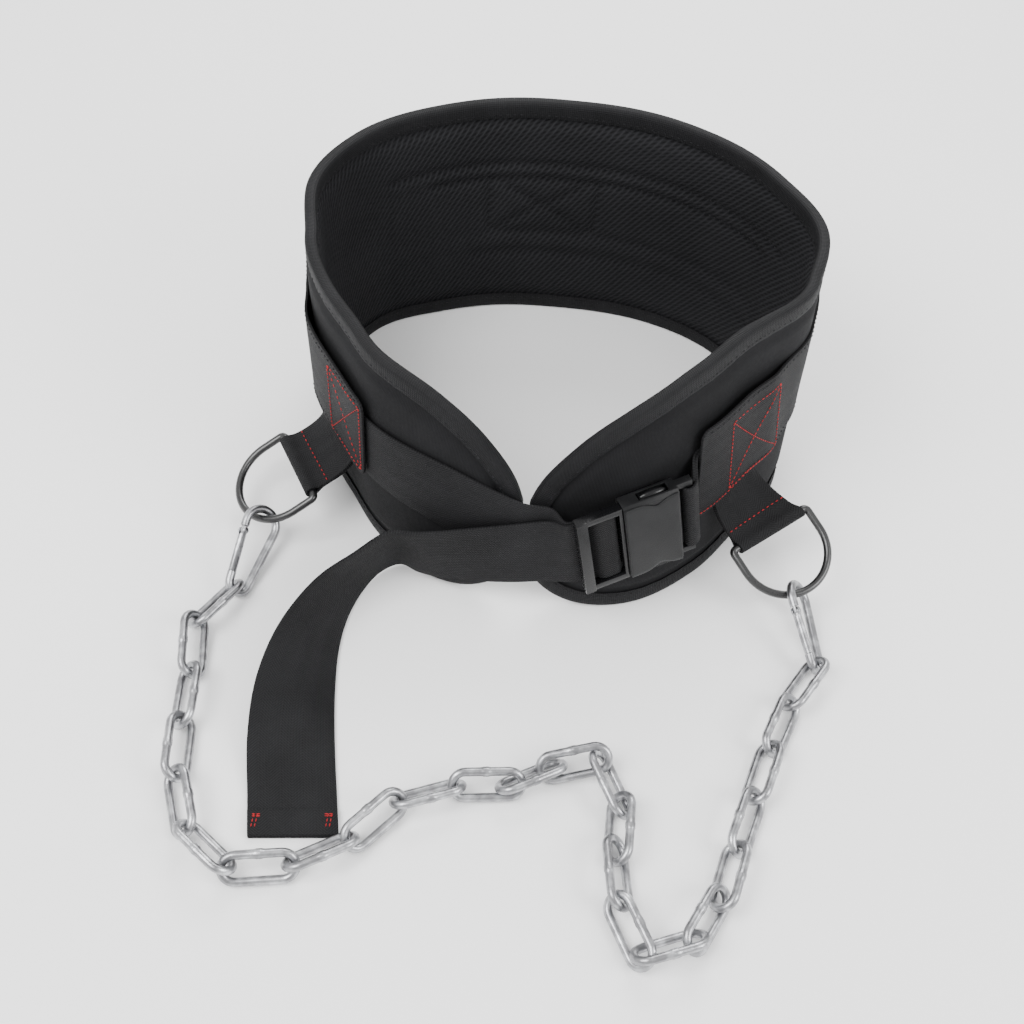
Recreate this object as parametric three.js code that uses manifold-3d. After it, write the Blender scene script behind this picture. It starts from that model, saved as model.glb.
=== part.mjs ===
import * as THREE from 'three';
import Module from 'manifold-3d';

// A weight belt for dips: a flared padded belt stood on its lower edge, its strap fastened in
// front, with a chain between two side rings lying on the same surface. Millimetres, Z up,
// X to the right, Y to the back. The origin is under the middle of the back wall.

// Belt wall, measured on its middle surface
const loopWidth = 304;
const loopDepth = 275;
const backHeight = 166;
const tipGap = 5;
const padThickness = 9;
const padRim = 4.8;
const bindingWidth = 11;
const tapeThickness = 1;
const facetLength = 27;

// Webbing, buckle and rings
const bandWidth = 66;
const bandThickness = 1.8;
const bandHeight = 95;
const strapWidth = 50;
const strapThickness = 1.8;
const ringWire = 5;
const ringInside = 52;
const ringReach = 44.5;
const buckleLength = 74;
const buckleHeight = 61;
const buckleThick = 13;
const shellWall = 1.8;

// Snap hooks and chain
const hookLength = 62;
const hookWire = 5.5;
const hookWide = 27;
const hookNarrow = 18.5;
const gateSwing = 22;
const linkLength = 45;
const linkWidth = 20;
const linkWire = 5;
const linkCount = 24;

// Clearances
const pieceGap = 0.3;
const lapGap = 0.4;

const deg = Math.PI / 180;
const up = new THREE.Vector3(0, 0, 1);
const vec = (x, y, z) => new THREE.Vector3(x, y, z);
const mix = (a, b, k) => a + (b - a) * k;
const lerp3 = (a, b, k) => a.clone().lerp(b, k);
const clamp = (v, lo, hi) => Math.min(hi, Math.max(lo, v));
const smooth = (v) => {
  const k = clamp(v, 0, 1);
  return k * k * (3 - 2 * k);
};

// How far the foot of the wall swells out of its oval, and how far the wall leans by its
// full height, outward positive, by angle round the loop from the front, right side positive
const wallTable = [
  { angle: -180, swell: 0, lean: 18 }, { angle: -150, swell: -3.5, lean: 15 },
  { angle: -125, swell: 5, lean: 8 }, { angle: -105, swell: 4.3, lean: 9 },
  { angle: -90, swell: -3.6, lean: 6 }, { angle: -75, swell: -12, lean: 3 },
  { angle: -60, swell: -16.8, lean: 1 }, { angle: -42, swell: -11.8, lean: -2 },
  { angle: -25, swell: -4.2, lean: -14 }, { angle: 0, swell: -1.4, lean: -25 },
  { angle: 20, swell: 0, lean: -29 }, { angle: 40, swell: -7.8, lean: -30 },
  { angle: 60, swell: -12.1, lean: -27 }, { angle: 75, swell: -3.4, lean: -25 },
  { angle: 90, swell: 5.3, lean: -8 }, { angle: 104, swell: 4.4, lean: 5 },
  { angle: 125, swell: 1.5, lean: 4 }, { angle: 150, swell: -1.5, lean: 10 },
];

// Outline of a rounded front end: distance from its end, lower edge and upper edge as
// shares of the height of the back
const tipTable = [
  { along: 0, foot: 0.235, top: 0.49 }, { along: 3.5, foot: 0.175, top: 0.55 },
  { along: 8, foot: 0.125, top: 0.605 }, { along: 14, foot: 0.085, top: 0.66 },
  { along: 22, foot: 0.05, top: 0.72 }, { along: 33, foot: 0.022, top: 0.79 },
  { along: 48, foot: 0.006, top: 0.86 }, { along: 68, foot: 0, top: 0.925 },
  { along: 92, foot: 0, top: 0.965 }, { along: 120, foot: 0, top: 0.98 },
  { along: 150, foot: 0, top: 0.99 }, { along: 180, foot: 0, top: 1 },
];

function readTable(rows, key, column, at, period) {
  const n = rows.length;
  const pick = (i) => {
    if (!period) return rows[clamp(i, 0, n - 1)];
    return rows[((i % n) + n) % n];
  };
  const place = (i) => {
    if (!period) return rows[clamp(i, 0, n - 1)][key];
    return pick(i)[key] + period * Math.floor(i / n);
  };
  let i = 0;
  if (!period && at <= rows[0][key]) return rows[0][column];
  if (!period && at >= rows[n - 1][key]) return rows[n - 1][column];
  while (at >= place(i + 1)) i += 1;
  const slope = (j) => {
    const span = place(j + 1) - place(j - 1);
    return span > 0 ? (pick(j + 1)[column] - pick(j - 1)[column]) / span : 0;
  };
  const x0 = place(i);
  const h = place(i + 1) - x0;
  const k = (at - x0) / h;
  const a = pick(i)[column];
  const b = pick(i + 1)[column];
  const k2 = k * k;
  const k3 = k2 * k;
  return a * (2 * k3 - 3 * k2 + 1) + b * (3 * k2 - 2 * k3)
    + h * (slope(i) * (k3 - 2 * k2 + k) + slope(i + 1) * (k3 - k2));
}

// Plan of the wall at the surface it stands on: a rounded oval, squarer at the back
function planPoint(angle) {
  const s = Math.sin(angle * deg);
  const c = Math.cos(angle * deg);
  const power = 2 / (2.45 - 0.25 * c);
  const x = loopWidth / 2 * Math.sign(s) * Math.abs(s) ** power;
  const y = loopDepth / 2 * Math.sign(c) * Math.abs(c) ** power;
  return new THREE.Vector2(x, -loopDepth / 2 - y);
}
const planSteps = 1440;
const planRun = [0];
for (let i = 1; i <= planSteps; i += 1) {
  const a = planPoint((i - 1) * 360 / planSteps);
  const b = planPoint(i * 360 / planSteps);
  planRun.push(planRun[i - 1] + a.distanceTo(b));
}
const girth = planRun[planSteps];
function angleAt(run) {
  const r = ((run % girth) + girth) % girth;
  let lo = 0;
  let hi = planSteps;
  while (hi - lo > 1) {
    const mid = (lo + hi) >> 1;
    if (planRun[mid] <= r) lo = mid; else hi = mid;
  }
  const k = (r - planRun[lo]) / (planRun[hi] - planRun[lo]);
  return (lo + k) * 360 / planSteps;
}
// Distance round the loop from the front middle, right side positive
function runAt(angle) {
  const a = ((angle % 360) + 360) % 360;
  const i = Math.min(planSteps - 1, Math.floor(a / 360 * planSteps));
  return mix(planRun[i], planRun[i + 1], a / 360 * planSteps - i);
}

// Places of the parts on the wall, in distance round the loop from the front middle
const notchRun = runAt(-3.3) - girth;
const ringRunLeft = runAt(-65) - girth;
const ringRunRight = runAt(56.5);
const bandEndLeft = runAt(-45.5) - girth;
const bandEndRight = runAt(37);
const strapRoot = runAt(-50) - girth;
const webHalf = (strapWidth - 2) / 2;
const bandCorner = 5;

// Stations of the wall: every piece that follows the wall bends only at these
const stationRuns = [];
const firstRun = notchRun + tipGap / 2;
const lastRun = notchRun - tipGap / 2 + girth;
for (const row of tipTable) {
  stationRuns.push(firstRun + row.along);
  stationRuns.push(lastRun - row.along);
}
const extraRuns = [bandEndRight, bandEndRight + bandCorner, bandEndLeft + girth,
  bandEndLeft + girth - bandCorner, strapRoot + girth, girth / 2];
for (const centre of [ringRunLeft + girth, ringRunRight]) {
  for (const k of [-1, -1 / 3, 1 / 3, 1]) extraRuns.push(centre + k * webHalf);
}
for (const run of extraRuns) {
  const near = stationRuns.findIndex((other) => Math.abs(other - run) < 3.2
    && other > firstRun + 100 && other < lastRun - 100 && !extraRuns.includes(other));
  if (near >= 0) stationRuns[near] = run; else stationRuns.push(run);
}
stationRuns.sort((a, b) => a - b);
for (let i = stationRuns.length - 1; i > 0; i -= 1) {
  const span = stationRuns[i] - stationRuns[i - 1];
  const parts = Math.round(span / facetLength);
  for (let k = parts - 1; k > 0; k -= 1) {
    stationRuns.splice(i, 0, stationRuns[i - 1] + span * k / parts);
  }
}
const columns = stationRuns.map((run) => {
  const angle = angleAt(run);
  const at = planPoint(angle);
  const fore = planPoint(angle + 0.5);
  const back = planPoint(angle - 0.5);
  const out = new THREE.Vector2(fore.y - back.y, back.x - fore.x).normalize();
  const signed = angle > 180 ? angle - 360 : angle;
  const swell = readTable(wallTable, 'angle', 'swell', signed + 360, 360);
  const lean = readTable(wallTable, 'angle', 'lean', signed + 360, 360);
  return { run, at: at.addScaledVector(out, swell), out, lean };
});
function columnPoint(column, height, out) {
  const reach = out + column.lean * height / backHeight;
  return vec(column.at.x + column.out.x * reach, column.at.y + column.out.y * reach, height);
}
// Point of the faceted wall: distance round the loop, height, distance out of the middle
function wallPoint(run, height, out) {
  let r = run;
  while (r < firstRun - 1e-6) r += girth;
  while (r > firstRun + girth) r -= girth;
  let i = columns.length - 1;
  while (i > 0 && columns[i].run > r + 1e-6) i -= 1;
  const a = columns[i];
  const b = columns[(i + 1) % columns.length];
  const end = b.run > a.run ? b.run : b.run + girth;
  const k = clamp((r - a.run) / (end - a.run), 0, 1);
  return lerp3(columnPoint(a, height, out), columnPoint(b, height, out), k);
}
function stationsBetween(from, to) {
  const list = [from];
  for (const turn of [-girth, 0, girth]) {
    for (const run of stationRuns) {
      if (run + turn > from + 0.6 && run + turn < to - 0.6) list.push(run + turn);
    }
  }
  list.push(to);
  return list.sort((a, b) => a - b);
}

const pieces = [];
const colours = { cloth: 0x1d1d20, web: 0x18181a, metal: 0xb9bcc0, ring: 0x141416, plastic: 0x26272b };
function addPiece(name, geometry, colour, rough, metal) {
  const material = new THREE.MeshStandardMaterial({
    color: colours[colour], roughness: rough, metalness: metal,
  });
  const mesh = new THREE.Mesh(geometry, material);
  mesh.name = name;
  pieces.push(mesh);
  return mesh;
}
// Indexed triangles to a geometry, turned to face out
function solidFrom(points, faces) {
  let six = 0;
  for (const [a, b, c] of faces) {
    six += points[a].dot(points[b].clone().cross(points[c]));
  }
  const list = [];
  for (const [a, b, c] of faces) {
    if (six >= 0) list.push(a, b, c); else list.push(a, c, b);
  }
  const geometry = new THREE.BufferGeometry();
  const flat = points.flatMap((p) => [p.x, p.y, p.z]);
  geometry.setAttribute('position', new THREE.Float32BufferAttribute(flat, 3));
  geometry.setIndex(list);
  geometry.computeVertexNormals();
  return geometry;
}
// Triangles that close one end of a skin: its rings are laid flat in their own plane
function capFaces(rings, first, atEnd) {
  const outer = rings[0];
  const normal = vec(0, 0, 0);
  outer.forEach((p, i) => normal.add(p.clone().cross(outer[(i + 1) % outer.length])));
  normal.normalize();
  const across = outer[1].clone().sub(outer[0]);
  across.addScaledVector(normal, -across.dot(normal)).normalize();
  const upward = normal.clone().cross(across);
  const flat = rings.map((ring) => ring.map((p) => new THREE.Vector2(p.dot(across), p.dot(upward))));
  const faces = THREE.ShapeUtils.triangulateShape(flat[0], flat.slice(1));
  return faces.map(([a, b, c]) => (atEnd ? [first + a, first + b, first + c]
    : [first + a, first + c, first + b]));
}
// Skin over a row of like sections; each section is a list of rings of points, the first
// one the outside and the others, run the other way round, holes
function loft(sections, closed) {
  const points = [];
  const faces = [];
  const starts = [];
  for (const rings of sections) {
    starts.push(points.length);
    for (const ring of rings) points.push(...ring);
  }
  const count = sections.length;
  const last = closed ? count : count - 1;
  for (let i = 0; i < last; i += 1) {
    const a = starts[i];
    const b = starts[(i + 1) % count];
    let first = 0;
    for (const { length } of sections[0]) {
      for (let j = 0; j < length; j += 1) {
        const j0 = first + j;
        const j1 = first + (j + 1) % length;
        faces.push([a + j0, a + j1, b + j1]);
        faces.push([a + j0, b + j1, b + j0]);
      }
      first += length;
    }
  }
  if (!closed) {
    faces.push(...capFaces(sections[0], starts[0], false));
    faces.push(...capFaces(sections[count - 1], starts[count - 1], true));
  }
  return solidFrom(points, faces);
}

// Outline of the belt laid flat: distance round the loop against height
function padOutline() {
  const upper = [];
  const lower = [];
  for (const run of stationRuns) {
    const along = Math.min(run - firstRun, lastRun - run);
    upper.push([run, backHeight * readTable(tipTable, 'along', 'top', along)]);
    lower.push([run, backHeight * readTable(tipTable, 'along', 'foot', along)]);
  }
  return { upper, lower, ring: [...upper, ...lower.slice().reverse()] };
}
// Outline drawn in by an even width; where it runs along the wall its points stay at the
// stations
function insetRing(ring, inset) {
  const n = ring.length;
  return ring.map((p, i) => {
    const a = ring[(i + n - 1) % n];
    const b = ring[(i + 1) % n];
    const into = new THREE.Vector2(p[0] - a[0], p[1] - a[1]).normalize();
    const from = new THREE.Vector2(b[0] - p[0], b[1] - p[1]).normalize();
    const side = new THREE.Vector2(into.y + from.y, -into.x - from.x).normalize();
    if (Math.abs(side.y) > 0.55) return [p[0], p[1] + inset / side.y];
    const half = Math.abs(side.x * from.y - side.y * from.x);
    const reach = inset / Math.max(0.6, half);
    return [p[0] + side.x * reach, p[1] + side.y * reach];
  });
}
const outline = padOutline();
function edgeDistance(run, height) {
  let least = Infinity;
  const n = outline.ring.length;
  for (let i = 0; i < n; i += 1) {
    const a = outline.ring[i];
    const b = outline.ring[(i + 1) % n];
    const dx = b[0] - a[0];
    const dy = b[1] - a[1];
    const k = clamp(((run - a[0]) * dx + (height - a[1]) * dy) / (dx * dx + dy * dy), 0, 1);
    least = Math.min(least, Math.hypot(run - a[0] - k * dx, height - a[1] - k * dy));
  }
  return least;
}

// Padded wall: thin under the binding, full thickness inside it
const rimShoulder = bindingWidth + 1.8;
function padHalf(run, height) {
  const rise = smooth((edgeDistance(run, height) - rimShoulder) / 8);
  return mix(padRim / 2, padThickness / 2, rise);
}
function makePad() {
  const ring = insetRing(outline.ring, tapeThickness + pieceGap);
  const n = stationRuns.length;
  const sections = [];
  for (let i = 0; i < n; i += 1) {
    const top = ring[i];
    const foot = ring[2 * n - 1 - i];
    const rows = [0, rimShoulder - 1.2, rimShoulder + 7.4];
    const tall = top[1] - foot[1];
    const limit = (row) => (row > 0 ? 0.1 + 0.28 * row / rows[2] : 0);
    const shares = rows.map((row) => Math.min(row / tall, limit(row)));
    const middle = bandMiddle(stationRuns[i]) - foot[1];
    const most = shares[2] + 0.06;
    shares.push(clamp((middle - bandWidth / 2) / tall, most, 0.46));
    shares.push(clamp((middle + bandWidth / 2) / tall, 0.54, 1 - most));
    const levels = [...shares, ...shares.slice(0, 3).reverse().map((share) => 1 - share)];
    const ends = [];
    const back = [];
    for (const share of levels) {
      const run = mix(foot[0], top[0], share);
      const height = mix(foot[1], top[1], share);
      const half = padHalf(run, height);
      ends.push(wallPoint(run, height, half));
      back.unshift(wallPoint(run, height, -half));
    }
    sections.push([[...ends, ...back]]);
  }
  addPiece('belt_pad', loft(sections, false), 'cloth', 0.9, 0);
}
makePad();

// Tape folded over the whole edge of the pad
function makeBinding() {
  const inner = padRim / 2 + pieceGap;
  const outer = inner + tapeThickness;
  const edge = insetRing(outline.ring, 0);
  const bottom = insetRing(outline.ring, tapeThickness);
  const lip = insetRing(outline.ring, bindingWidth);
  const sections = outline.ring.map((unused, i) => {
    const at = (p, out) => wallPoint(p[0], p[1], out);
    return [[at(edge[i], outer), at(lip[i], outer), at(lip[i], inner), at(bottom[i], inner),
      at(bottom[i], -inner), at(lip[i], -inner), at(lip[i], -outer), at(edge[i], -outer)]];
  });
  addPiece('edge_binding', loft(sections, true), 'web', 0.8, 0);
}
makeBinding();

// Wide webbing band sewn round the outside, lifted at both ends over what it holds down
const padOut = padThickness / 2 + lapGap;
const loopThick = 2 * strapThickness;
function bandOffset(run) {
  const fromLeft = run - bandEndRight;
  const fromRight = bandEndLeft + girth - run;
  const leftHold = ringRunRight + webHalf - bandEndRight;
  const rightHold = bandEndLeft - ringRunLeft + webHalf;
  const lift = Math.max(1 - smooth((fromLeft - leftHold - 8) / 30),
    1 - smooth((fromRight - rightHold - 8) / 30));
  return padOut + lift * (loopThick + 2 * lapGap);
}
function bandMiddle(run) {
  const end = Math.min(run - bandEndRight, bandEndLeft + girth - run);
  return bandHeight - 3 * (1 - smooth(end / 60));
}
function makeBand() {
  const runs = stationsBetween(bandEndRight, bandEndLeft + girth);
  const sections = runs.map((run) => {
    const end = Math.min(run - bandEndRight, bandEndLeft + girth - run);
    const half = bandWidth / 2 - (end < 0.5 ? bandCorner : 0);
    const mid = bandMiddle(run);
    const near = bandOffset(run);
    const far = near + bandThickness;
    return [[wallPoint(run, mid + half, far), wallPoint(run, mid - half, far),
      wallPoint(run, mid - half, near), wallPoint(run, mid + half, near)]];
  });
  addPiece('outer_band', loft(sections, false), 'web', 0.85, 0);
}
makeBand();

// Wire of even section along a path: points, closed or open
function wirePoints(path, radius, sides, closed, planeNormal, turn = 0) {
  const n = path.length;
  return path.map((p, i) => {
    const a = closed ? path[(i + n - 1) % n] : path[Math.max(0, i - 1)];
    const b = closed ? path[(i + 1) % n] : path[Math.min(n - 1, i + 1)];
    const into = p.clone().sub(a);
    const from = b.clone().sub(p);
    if (into.lengthSq() < 1e-12) into.copy(from);
    if (from.lengthSq() < 1e-12) from.copy(into);
    into.normalize();
    from.normalize();
    const along = into.clone().add(from).normalize();
    const side = along.clone().cross(planeNormal).normalize();
    const half = Math.max(0.5, Math.abs(along.dot(from)));
    const ring = [];
    for (let k = 0; k < sides; k += 1) {
      const w = (k + turn) / sides * 2 * Math.PI;
      const q = p.clone().addScaledVector(side, Math.cos(w) * radius / half);
      ring.push(q.addScaledVector(planeNormal, Math.sin(w) * radius));
    }
    return ring;
  });
}
// D-shaped rings: height and reach of the straight bar from the wall, direction of the bar
// and of the round side
const ringTable = {
  left: {
    run: ringRunLeft, height: 36, out: 35.5, bar: vec(0.5, -0.866, 0), reach: vec(-0.78, -0.45, -0.43),
  },
  right: {
    run: ringRunRight, height: 38, out: 36, bar: vec(0.8, 0.56, 0.2), reach: vec(0.58, -0.74, -0.35),
  },
};
const ringRadius = (ringInside + ringWire) / 2;
const barCorner = 3;
function ringFrame(pose) {
  const middle = wallPoint(pose.run, pose.height, pose.out);
  const bar = pose.bar.clone().normalize();
  const reach = pose.reach.clone().addScaledVector(bar, -pose.reach.dot(bar)).normalize();
  return { middle, bar, reach, normal: bar.clone().cross(reach).normalize(),
    arcCentre: middle.clone().addScaledVector(reach, ringReach - ringRadius) };
}
function ringPath(frame) {
  const flat = [];
  for (const side of [-1, 1]) {
    const corner = [];
    for (let k = 0; k <= 2; k += 1) {
      const w = k / 2 * Math.PI / 2;
      corner.push([side * (ringRadius - barCorner + barCorner * Math.sin(w)),
        barCorner - barCorner * Math.cos(w)]);
    }
    if (side < 0) corner.reverse();
    flat.push(...corner);
  }
  for (let k = 0; k <= 10; k += 1) {
    const w = k / 10 * Math.PI;
    flat.push([ringRadius * Math.cos(w), ringReach - ringRadius + ringRadius * Math.sin(w)]);
  }
  return flat.map(([x, y]) => frame.middle.clone().addScaledVector(frame.bar, x)
    .addScaledVector(frame.reach, y));
}
const rings = {};
for (const side of ['left', 'right']) {
  const frame = ringFrame(ringTable[side]);
  rings[side] = frame;
  const skin = wirePoints(ringPath(frame), ringWire / 2, 8, true, frame.normal, 0.5);
  addPiece(`d_ring_${side}`, loft(skin.map((ring) => [ring]), true), 'ring', 0.35, 0.9);
}

// Webbing loop of a ring: doubled strip from under the band, round the bar of the ring
function makeRingLoop(side, centreRun) {
  const frame = rings[side];
  const rootTop = bandHeight + 20;
  const rootFoot = bandHeight - bandWidth / 2 - 3.5;
  const layer = padOut + loopThick / 2;
  const eyeIn = (ringWire / 2 + pieceGap) / Math.cos(Math.PI / 8);
  const eyeOut = ringWire / 2 + pieceGap + strapThickness;
  const centreFace = wallPoint(centreRun + 4, rootFoot, layer)
    .sub(wallPoint(centreRun - 4, rootFoot, layer)).normalize();
  const flip = centreFace.dot(frame.bar) > 0 ? 1 : -1;
  const sections = [-1, -1 / 3, 1 / 3, 1].map((k) => {
    const run = centreRun + k * webHalf;
    const eye = frame.middle.clone().addScaledVector(frame.bar, flip * k * webHalf);
    const top = wallPoint(run, rootTop, layer);
    const foot = wallPoint(run, rootFoot, layer);
    const knee = wallPoint(run, rootFoot - 12, layer + 1.5);
    const path = [top, foot];
    const toEye = eye.clone().sub(knee);
    const stop = eye.clone().addScaledVector(toEye.clone().normalize(), -eyeOut - 2.5);
    for (const t of [0.3, 0.62, 1]) {
      const a = lerp3(foot, knee, t);
      const b = lerp3(knee, stop, t);
      path.push(lerp3(a, b, t));
    }
    const wide = lerp3(centreFace, frame.bar.clone().multiplyScalar(flip), 0.5).normalize();
    const tangents = path.map((p, i) => path[Math.min(i + 1, path.length - 1)].clone()
      .sub(path[Math.max(0, i - 1)]).normalize());
    tangents[0] = foot.clone().sub(top).normalize();
    const outs = tangents.map((t) => wide.clone().cross(t).normalize());
    const wallOut = wallPoint(run, rootFoot, 10).sub(wallPoint(run, rootFoot, 0)).normalize();
    if (outs[0].dot(wallOut) < 0) outs.forEach((o) => o.negate());
    outs[0] = wallOut.clone();
    outs[1] = lerp3(wallOut, outs[1], 0.4).normalize();
    const end = path.length - 1;
    const along = tangents[end];
    const outward = outs[end];
    const outer = path.map((p, i) => p.clone().addScaledVector(outs[i], strapThickness));
    const inner = path.map((p, i) => p.clone().addScaledVector(outs[i], -strapThickness));
    const round = [];
    for (const w of [-60, -20, 20, 60]) {
      round.push(eye.clone().addScaledVector(along, Math.cos(w * deg) * eyeOut * 1.06)
        .addScaledVector(outward, -Math.sin(w * deg) * eyeOut * 1.06));
    }
    const wideOut = eye.clone().addScaledVector(outward, eyeOut).addScaledVector(along, -1);
    const wideIn = eye.clone().addScaledVector(outward, -eyeOut).addScaledVector(along, -1);
    const hole = [];
    for (let j = 0; j < 8; j += 1) {
      const w = (j + 0.5) / 8 * 2 * Math.PI;
      hole.push(eye.clone().addScaledVector(along, Math.cos(w) * eyeIn)
        .addScaledVector(outward, Math.sin(w) * eyeIn));
    }
    return [[...outer, wideOut, ...round, wideIn, ...inner.reverse()], hole];
  });
  addPiece(`ring_loop_${side}`, loft(sections, false), 'web', 0.85, 0);
}
makeRingLoop('left', ringRunLeft);
makeRingLoop('right', ringRunRight);

// Straight-sided solids joined and cut
const wasm = await Module();
wasm.setup();
function asManifold(geometry) {
  const flat = geometry.index ? geometry.toNonIndexed() : geometry;
  const at = flat.attributes.position;
  const seen = new Map();
  const points = [];
  const faces = [];
  for (let i = 0; i < at.count; i += 1) {
    const p = [at.getX(i), at.getY(i), at.getZ(i)];
    const key = p.map((v) => Math.round(v * 1e4)).join(',');
    if (!seen.has(key)) {
      seen.set(key, points.length / 3);
      points.push(...p);
    }
    faces.push(seen.get(key));
  }
  return new wasm.Manifold(new wasm.Mesh({
    numProp: 3, vertProperties: new Float32Array(points), triVerts: new Uint32Array(faces),
  }));
}
function fromManifold(solid, place = vec) {
  const mesh = solid.getMesh();
  const points = [];
  for (let i = 0; i < mesh.vertProperties.length; i += mesh.numProp) {
    points.push(place(...mesh.vertProperties.slice(i, i + 3)));
  }
  const faces = [];
  for (let i = 0; i < mesh.triVerts.length; i += 3) {
    faces.push([mesh.triVerts[i], mesh.triVerts[i + 1], mesh.triVerts[i + 2]]);
  }
  return solidFrom(points, faces);
}
function block(x0, x1, y0, y1, z0, z1) {
  const box = new THREE.BoxGeometry(x1 - x0, y1 - y0, z1 - z0);
  box.translate((x0 + x1) / 2, (y0 + y1) / 2, (z0 + z1) / 2);
  return asManifold(box);
}
// Upright prism: outline in X and Z, thick along Y
function prism(outlineXZ, y0, y1) {
  const shape = new THREE.Shape(outlineXZ.map(([x, z]) => new THREE.Vector2(x, z)));
  const solid = new THREE.ExtrudeGeometry(shape, { depth: y1 - y0, bevelEnabled: false });
  solid.rotateX(Math.PI / 2);
  solid.translate(0, y1, 0);
  return asManifold(solid);
}
// Block with its four long edges along X cut off
function easedBlock(x0, x1, y0, y1, z0, z1, ease) {
  const ring = [[y0 + ease, z0], [y1 - ease, z0], [y1, z0 + ease], [y1, z1 - ease],
    [y1 - ease, z1], [y0 + ease, z1], [y0, z1 - ease], [y0, z0 + ease]];
  const sections = [x0, x1].map((x) => [ring.map(([y, z]) => vec(x, y, z))]);
  return asManifold(loft(sections, false));
}

// Side-release buckle, fastened, in its own axes: X along the strap, Y out of the wall
const buckleRun = runAt(19);
const buckleRise = 71;
const buckleClimb = 9;
const buckleSwing = 5;
const buckleLean = 8;
const halfTall = buckleHeight / 2;
const halfThick = buckleThick / 2;
const buckleEnd = buckleLength / 2;
const buckleCentre = wallPoint(buckleRun, buckleRise, padThickness / 2 + halfThick + 2.6);
const buckleX = wallPoint(buckleRun + 30, buckleRise, 0).sub(wallPoint(buckleRun - 30, buckleRise, 0));
buckleX.setZ(0).normalize().applyAxisAngle(up, buckleSwing * deg);
const buckleY = vec(buckleX.y, -buckleX.x, 0);
buckleX.multiplyScalar(Math.cos(buckleClimb * deg)).setZ(Math.sin(buckleClimb * deg));
buckleY.applyAxisAngle(buckleX, -buckleLean * deg);
if (buckleY.z < 0) buckleY.applyAxisAngle(buckleX, 2 * buckleLean * deg);
const buckleZ = buckleY.clone().cross(buckleX);
function buckleAt(x, y, z) {
  return buckleCentre.clone().addScaledVector(buckleX, x).addScaledVector(buckleY, y)
    .addScaledVector(buckleZ, z);
}
const shellFront = -8;
const shellBack = 27;
const railTall = halfTall - strapWidth / 2 - 1.3;
const barOut = 1.5;
const turnRadius = barOut + pieceGap + strapThickness / 2;
const foldBar = { from: -23, to: -15 };
const endBar = 1.7;
const eyeX = buckleEnd - endBar - 0.3;
const eyeIn = (endBar * Math.SQRT2 + pieceGap) / Math.cos(Math.PI / 8);
const eyeOut = eyeIn + strapThickness;
function makeBuckle() {
  const railIn = halfTall - railTall;
  const windowX = [3, 22];
  let shell = easedBlock(shellFront, shellBack, -halfThick, halfThick, -halfTall, halfTall, 2);
  shell = shell.subtract(block(shellFront - 1, shellBack - 2.5, -halfThick + shellWall,
    halfThick - shellWall, -halfTall + shellWall, halfTall - shellWall));
  shell = shell.subtract(block(windowX[0], windowX[1], -3.2, 3.2, -halfTall - 1, halfTall + 1));
  for (const side of [-1, 1]) {
    const z = side < 0 ? [-halfTall, -railIn] : [railIn, halfTall];
    shell = shell.add(block(shellBack - 1, buckleEnd, -2.4, 2.4, z[0], z[1]));
  }
  shell = shell.add(block(eyeX - endBar, eyeX + endBar, -endBar, endBar, -railIn - 1, railIn + 1));
  const base = shellFront - pieceGap - 2.2;
  let plug = block(-buckleEnd, -buckleEnd + 6.5, -1, halfThick - 0.5, -halfTall, halfTall);
  for (const side of [-1, 1]) {
    const z = side < 0 ? [-halfTall, -railIn] : [railIn, halfTall];
    plug = plug.add(block(-buckleEnd, base + 1, -1, halfThick - 1.5, z[0], z[1]));
    const prong = prism([[base + 1, side * 17], [2, side * 20], [windowX[0] + 1, side * 26],
      [windowX[0] + 1, side * (halfTall - 0.6)], [windowX[1] - 5, side * (halfTall - 1.2)],
      [windowX[1] - 0.6, side * 25], [windowX[1] - 2, side * 21], [8, side * 16],
      [base + 1, side * 12]], -2.4, 2.4);
    plug = plug.add(prong);
  }
  plug = plug.add(block(foldBar.from, foldBar.to, -barOut, barOut, -railIn - 0.5, railIn + 0.5));
  plug = plug.add(block(base, base + 2.2, -1, halfThick - 1.5, -halfTall, halfTall));
  plug = plug.add(block(base, base + 2.2, -2.4, 0, -21, 21));
  plug = plug.add(block(base + 1, 19, -1.6, 1.6, -4.5, 4.5));
  addPiece('buckle_female', fromManifold(shell, buckleAt), 'plastic', 0.4, 0);
  addPiece('buckle_male', fromManifold(plug, buckleAt), 'plastic', 0.35, 0);
}
makeBuckle();

// Ribbon of even thickness: lower and upper edge at every station
function ribbon(stations, thickness) {
  const n = stations.length;
  const middles = stations.map(([low, high]) => lerp3(low, high, 0.5));
  const sections = stations.map(([low, high], i) => {
    const along = middles[Math.min(n - 1, i + 1)].clone().sub(middles[Math.max(0, i - 1)]);
    const side = along.cross(high.clone().sub(low)).normalize();
    const half = thickness / 2;
    return [[low.clone().addScaledVector(side, -half), low.clone().addScaledVector(side, half),
      high.clone().addScaledVector(side, half), high.clone().addScaledVector(side, -half)]];
  });
  return loft(sections, false);
}

// Strap: rear layer along the wall, fold round the bar of the buckle, front layer back to
// the left, then the free end down to the surface
const strapStep = 12;
const strapRear = [
  { run: -132, height: 84, out: 6.7 }, { run: -92, height: 84.5, out: 6.7 },
  { run: -64, height: 81.5, out: 6.8 }, { run: -38, height: 73, out: 7 },
  { run: -12, height: 63.5, out: 8 }, { run: 4, height: 63, out: 9.2 },
];
// Front layer: height and reach of the lower edge, and how far the upper edge tips out
const strapFront = [
  { run: -88, height: 4, out: 9.1, tip: 17 }, { run: -68, height: 9.5, out: 9.2, tip: 10 },
  { run: -40, height: 18.5, out: 9.5, tip: 4 }, { run: -12, height: 26, out: 10.6, tip: 0.5 },
  { run: 4, height: 31, out: 12, tip: 0 },
];
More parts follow.
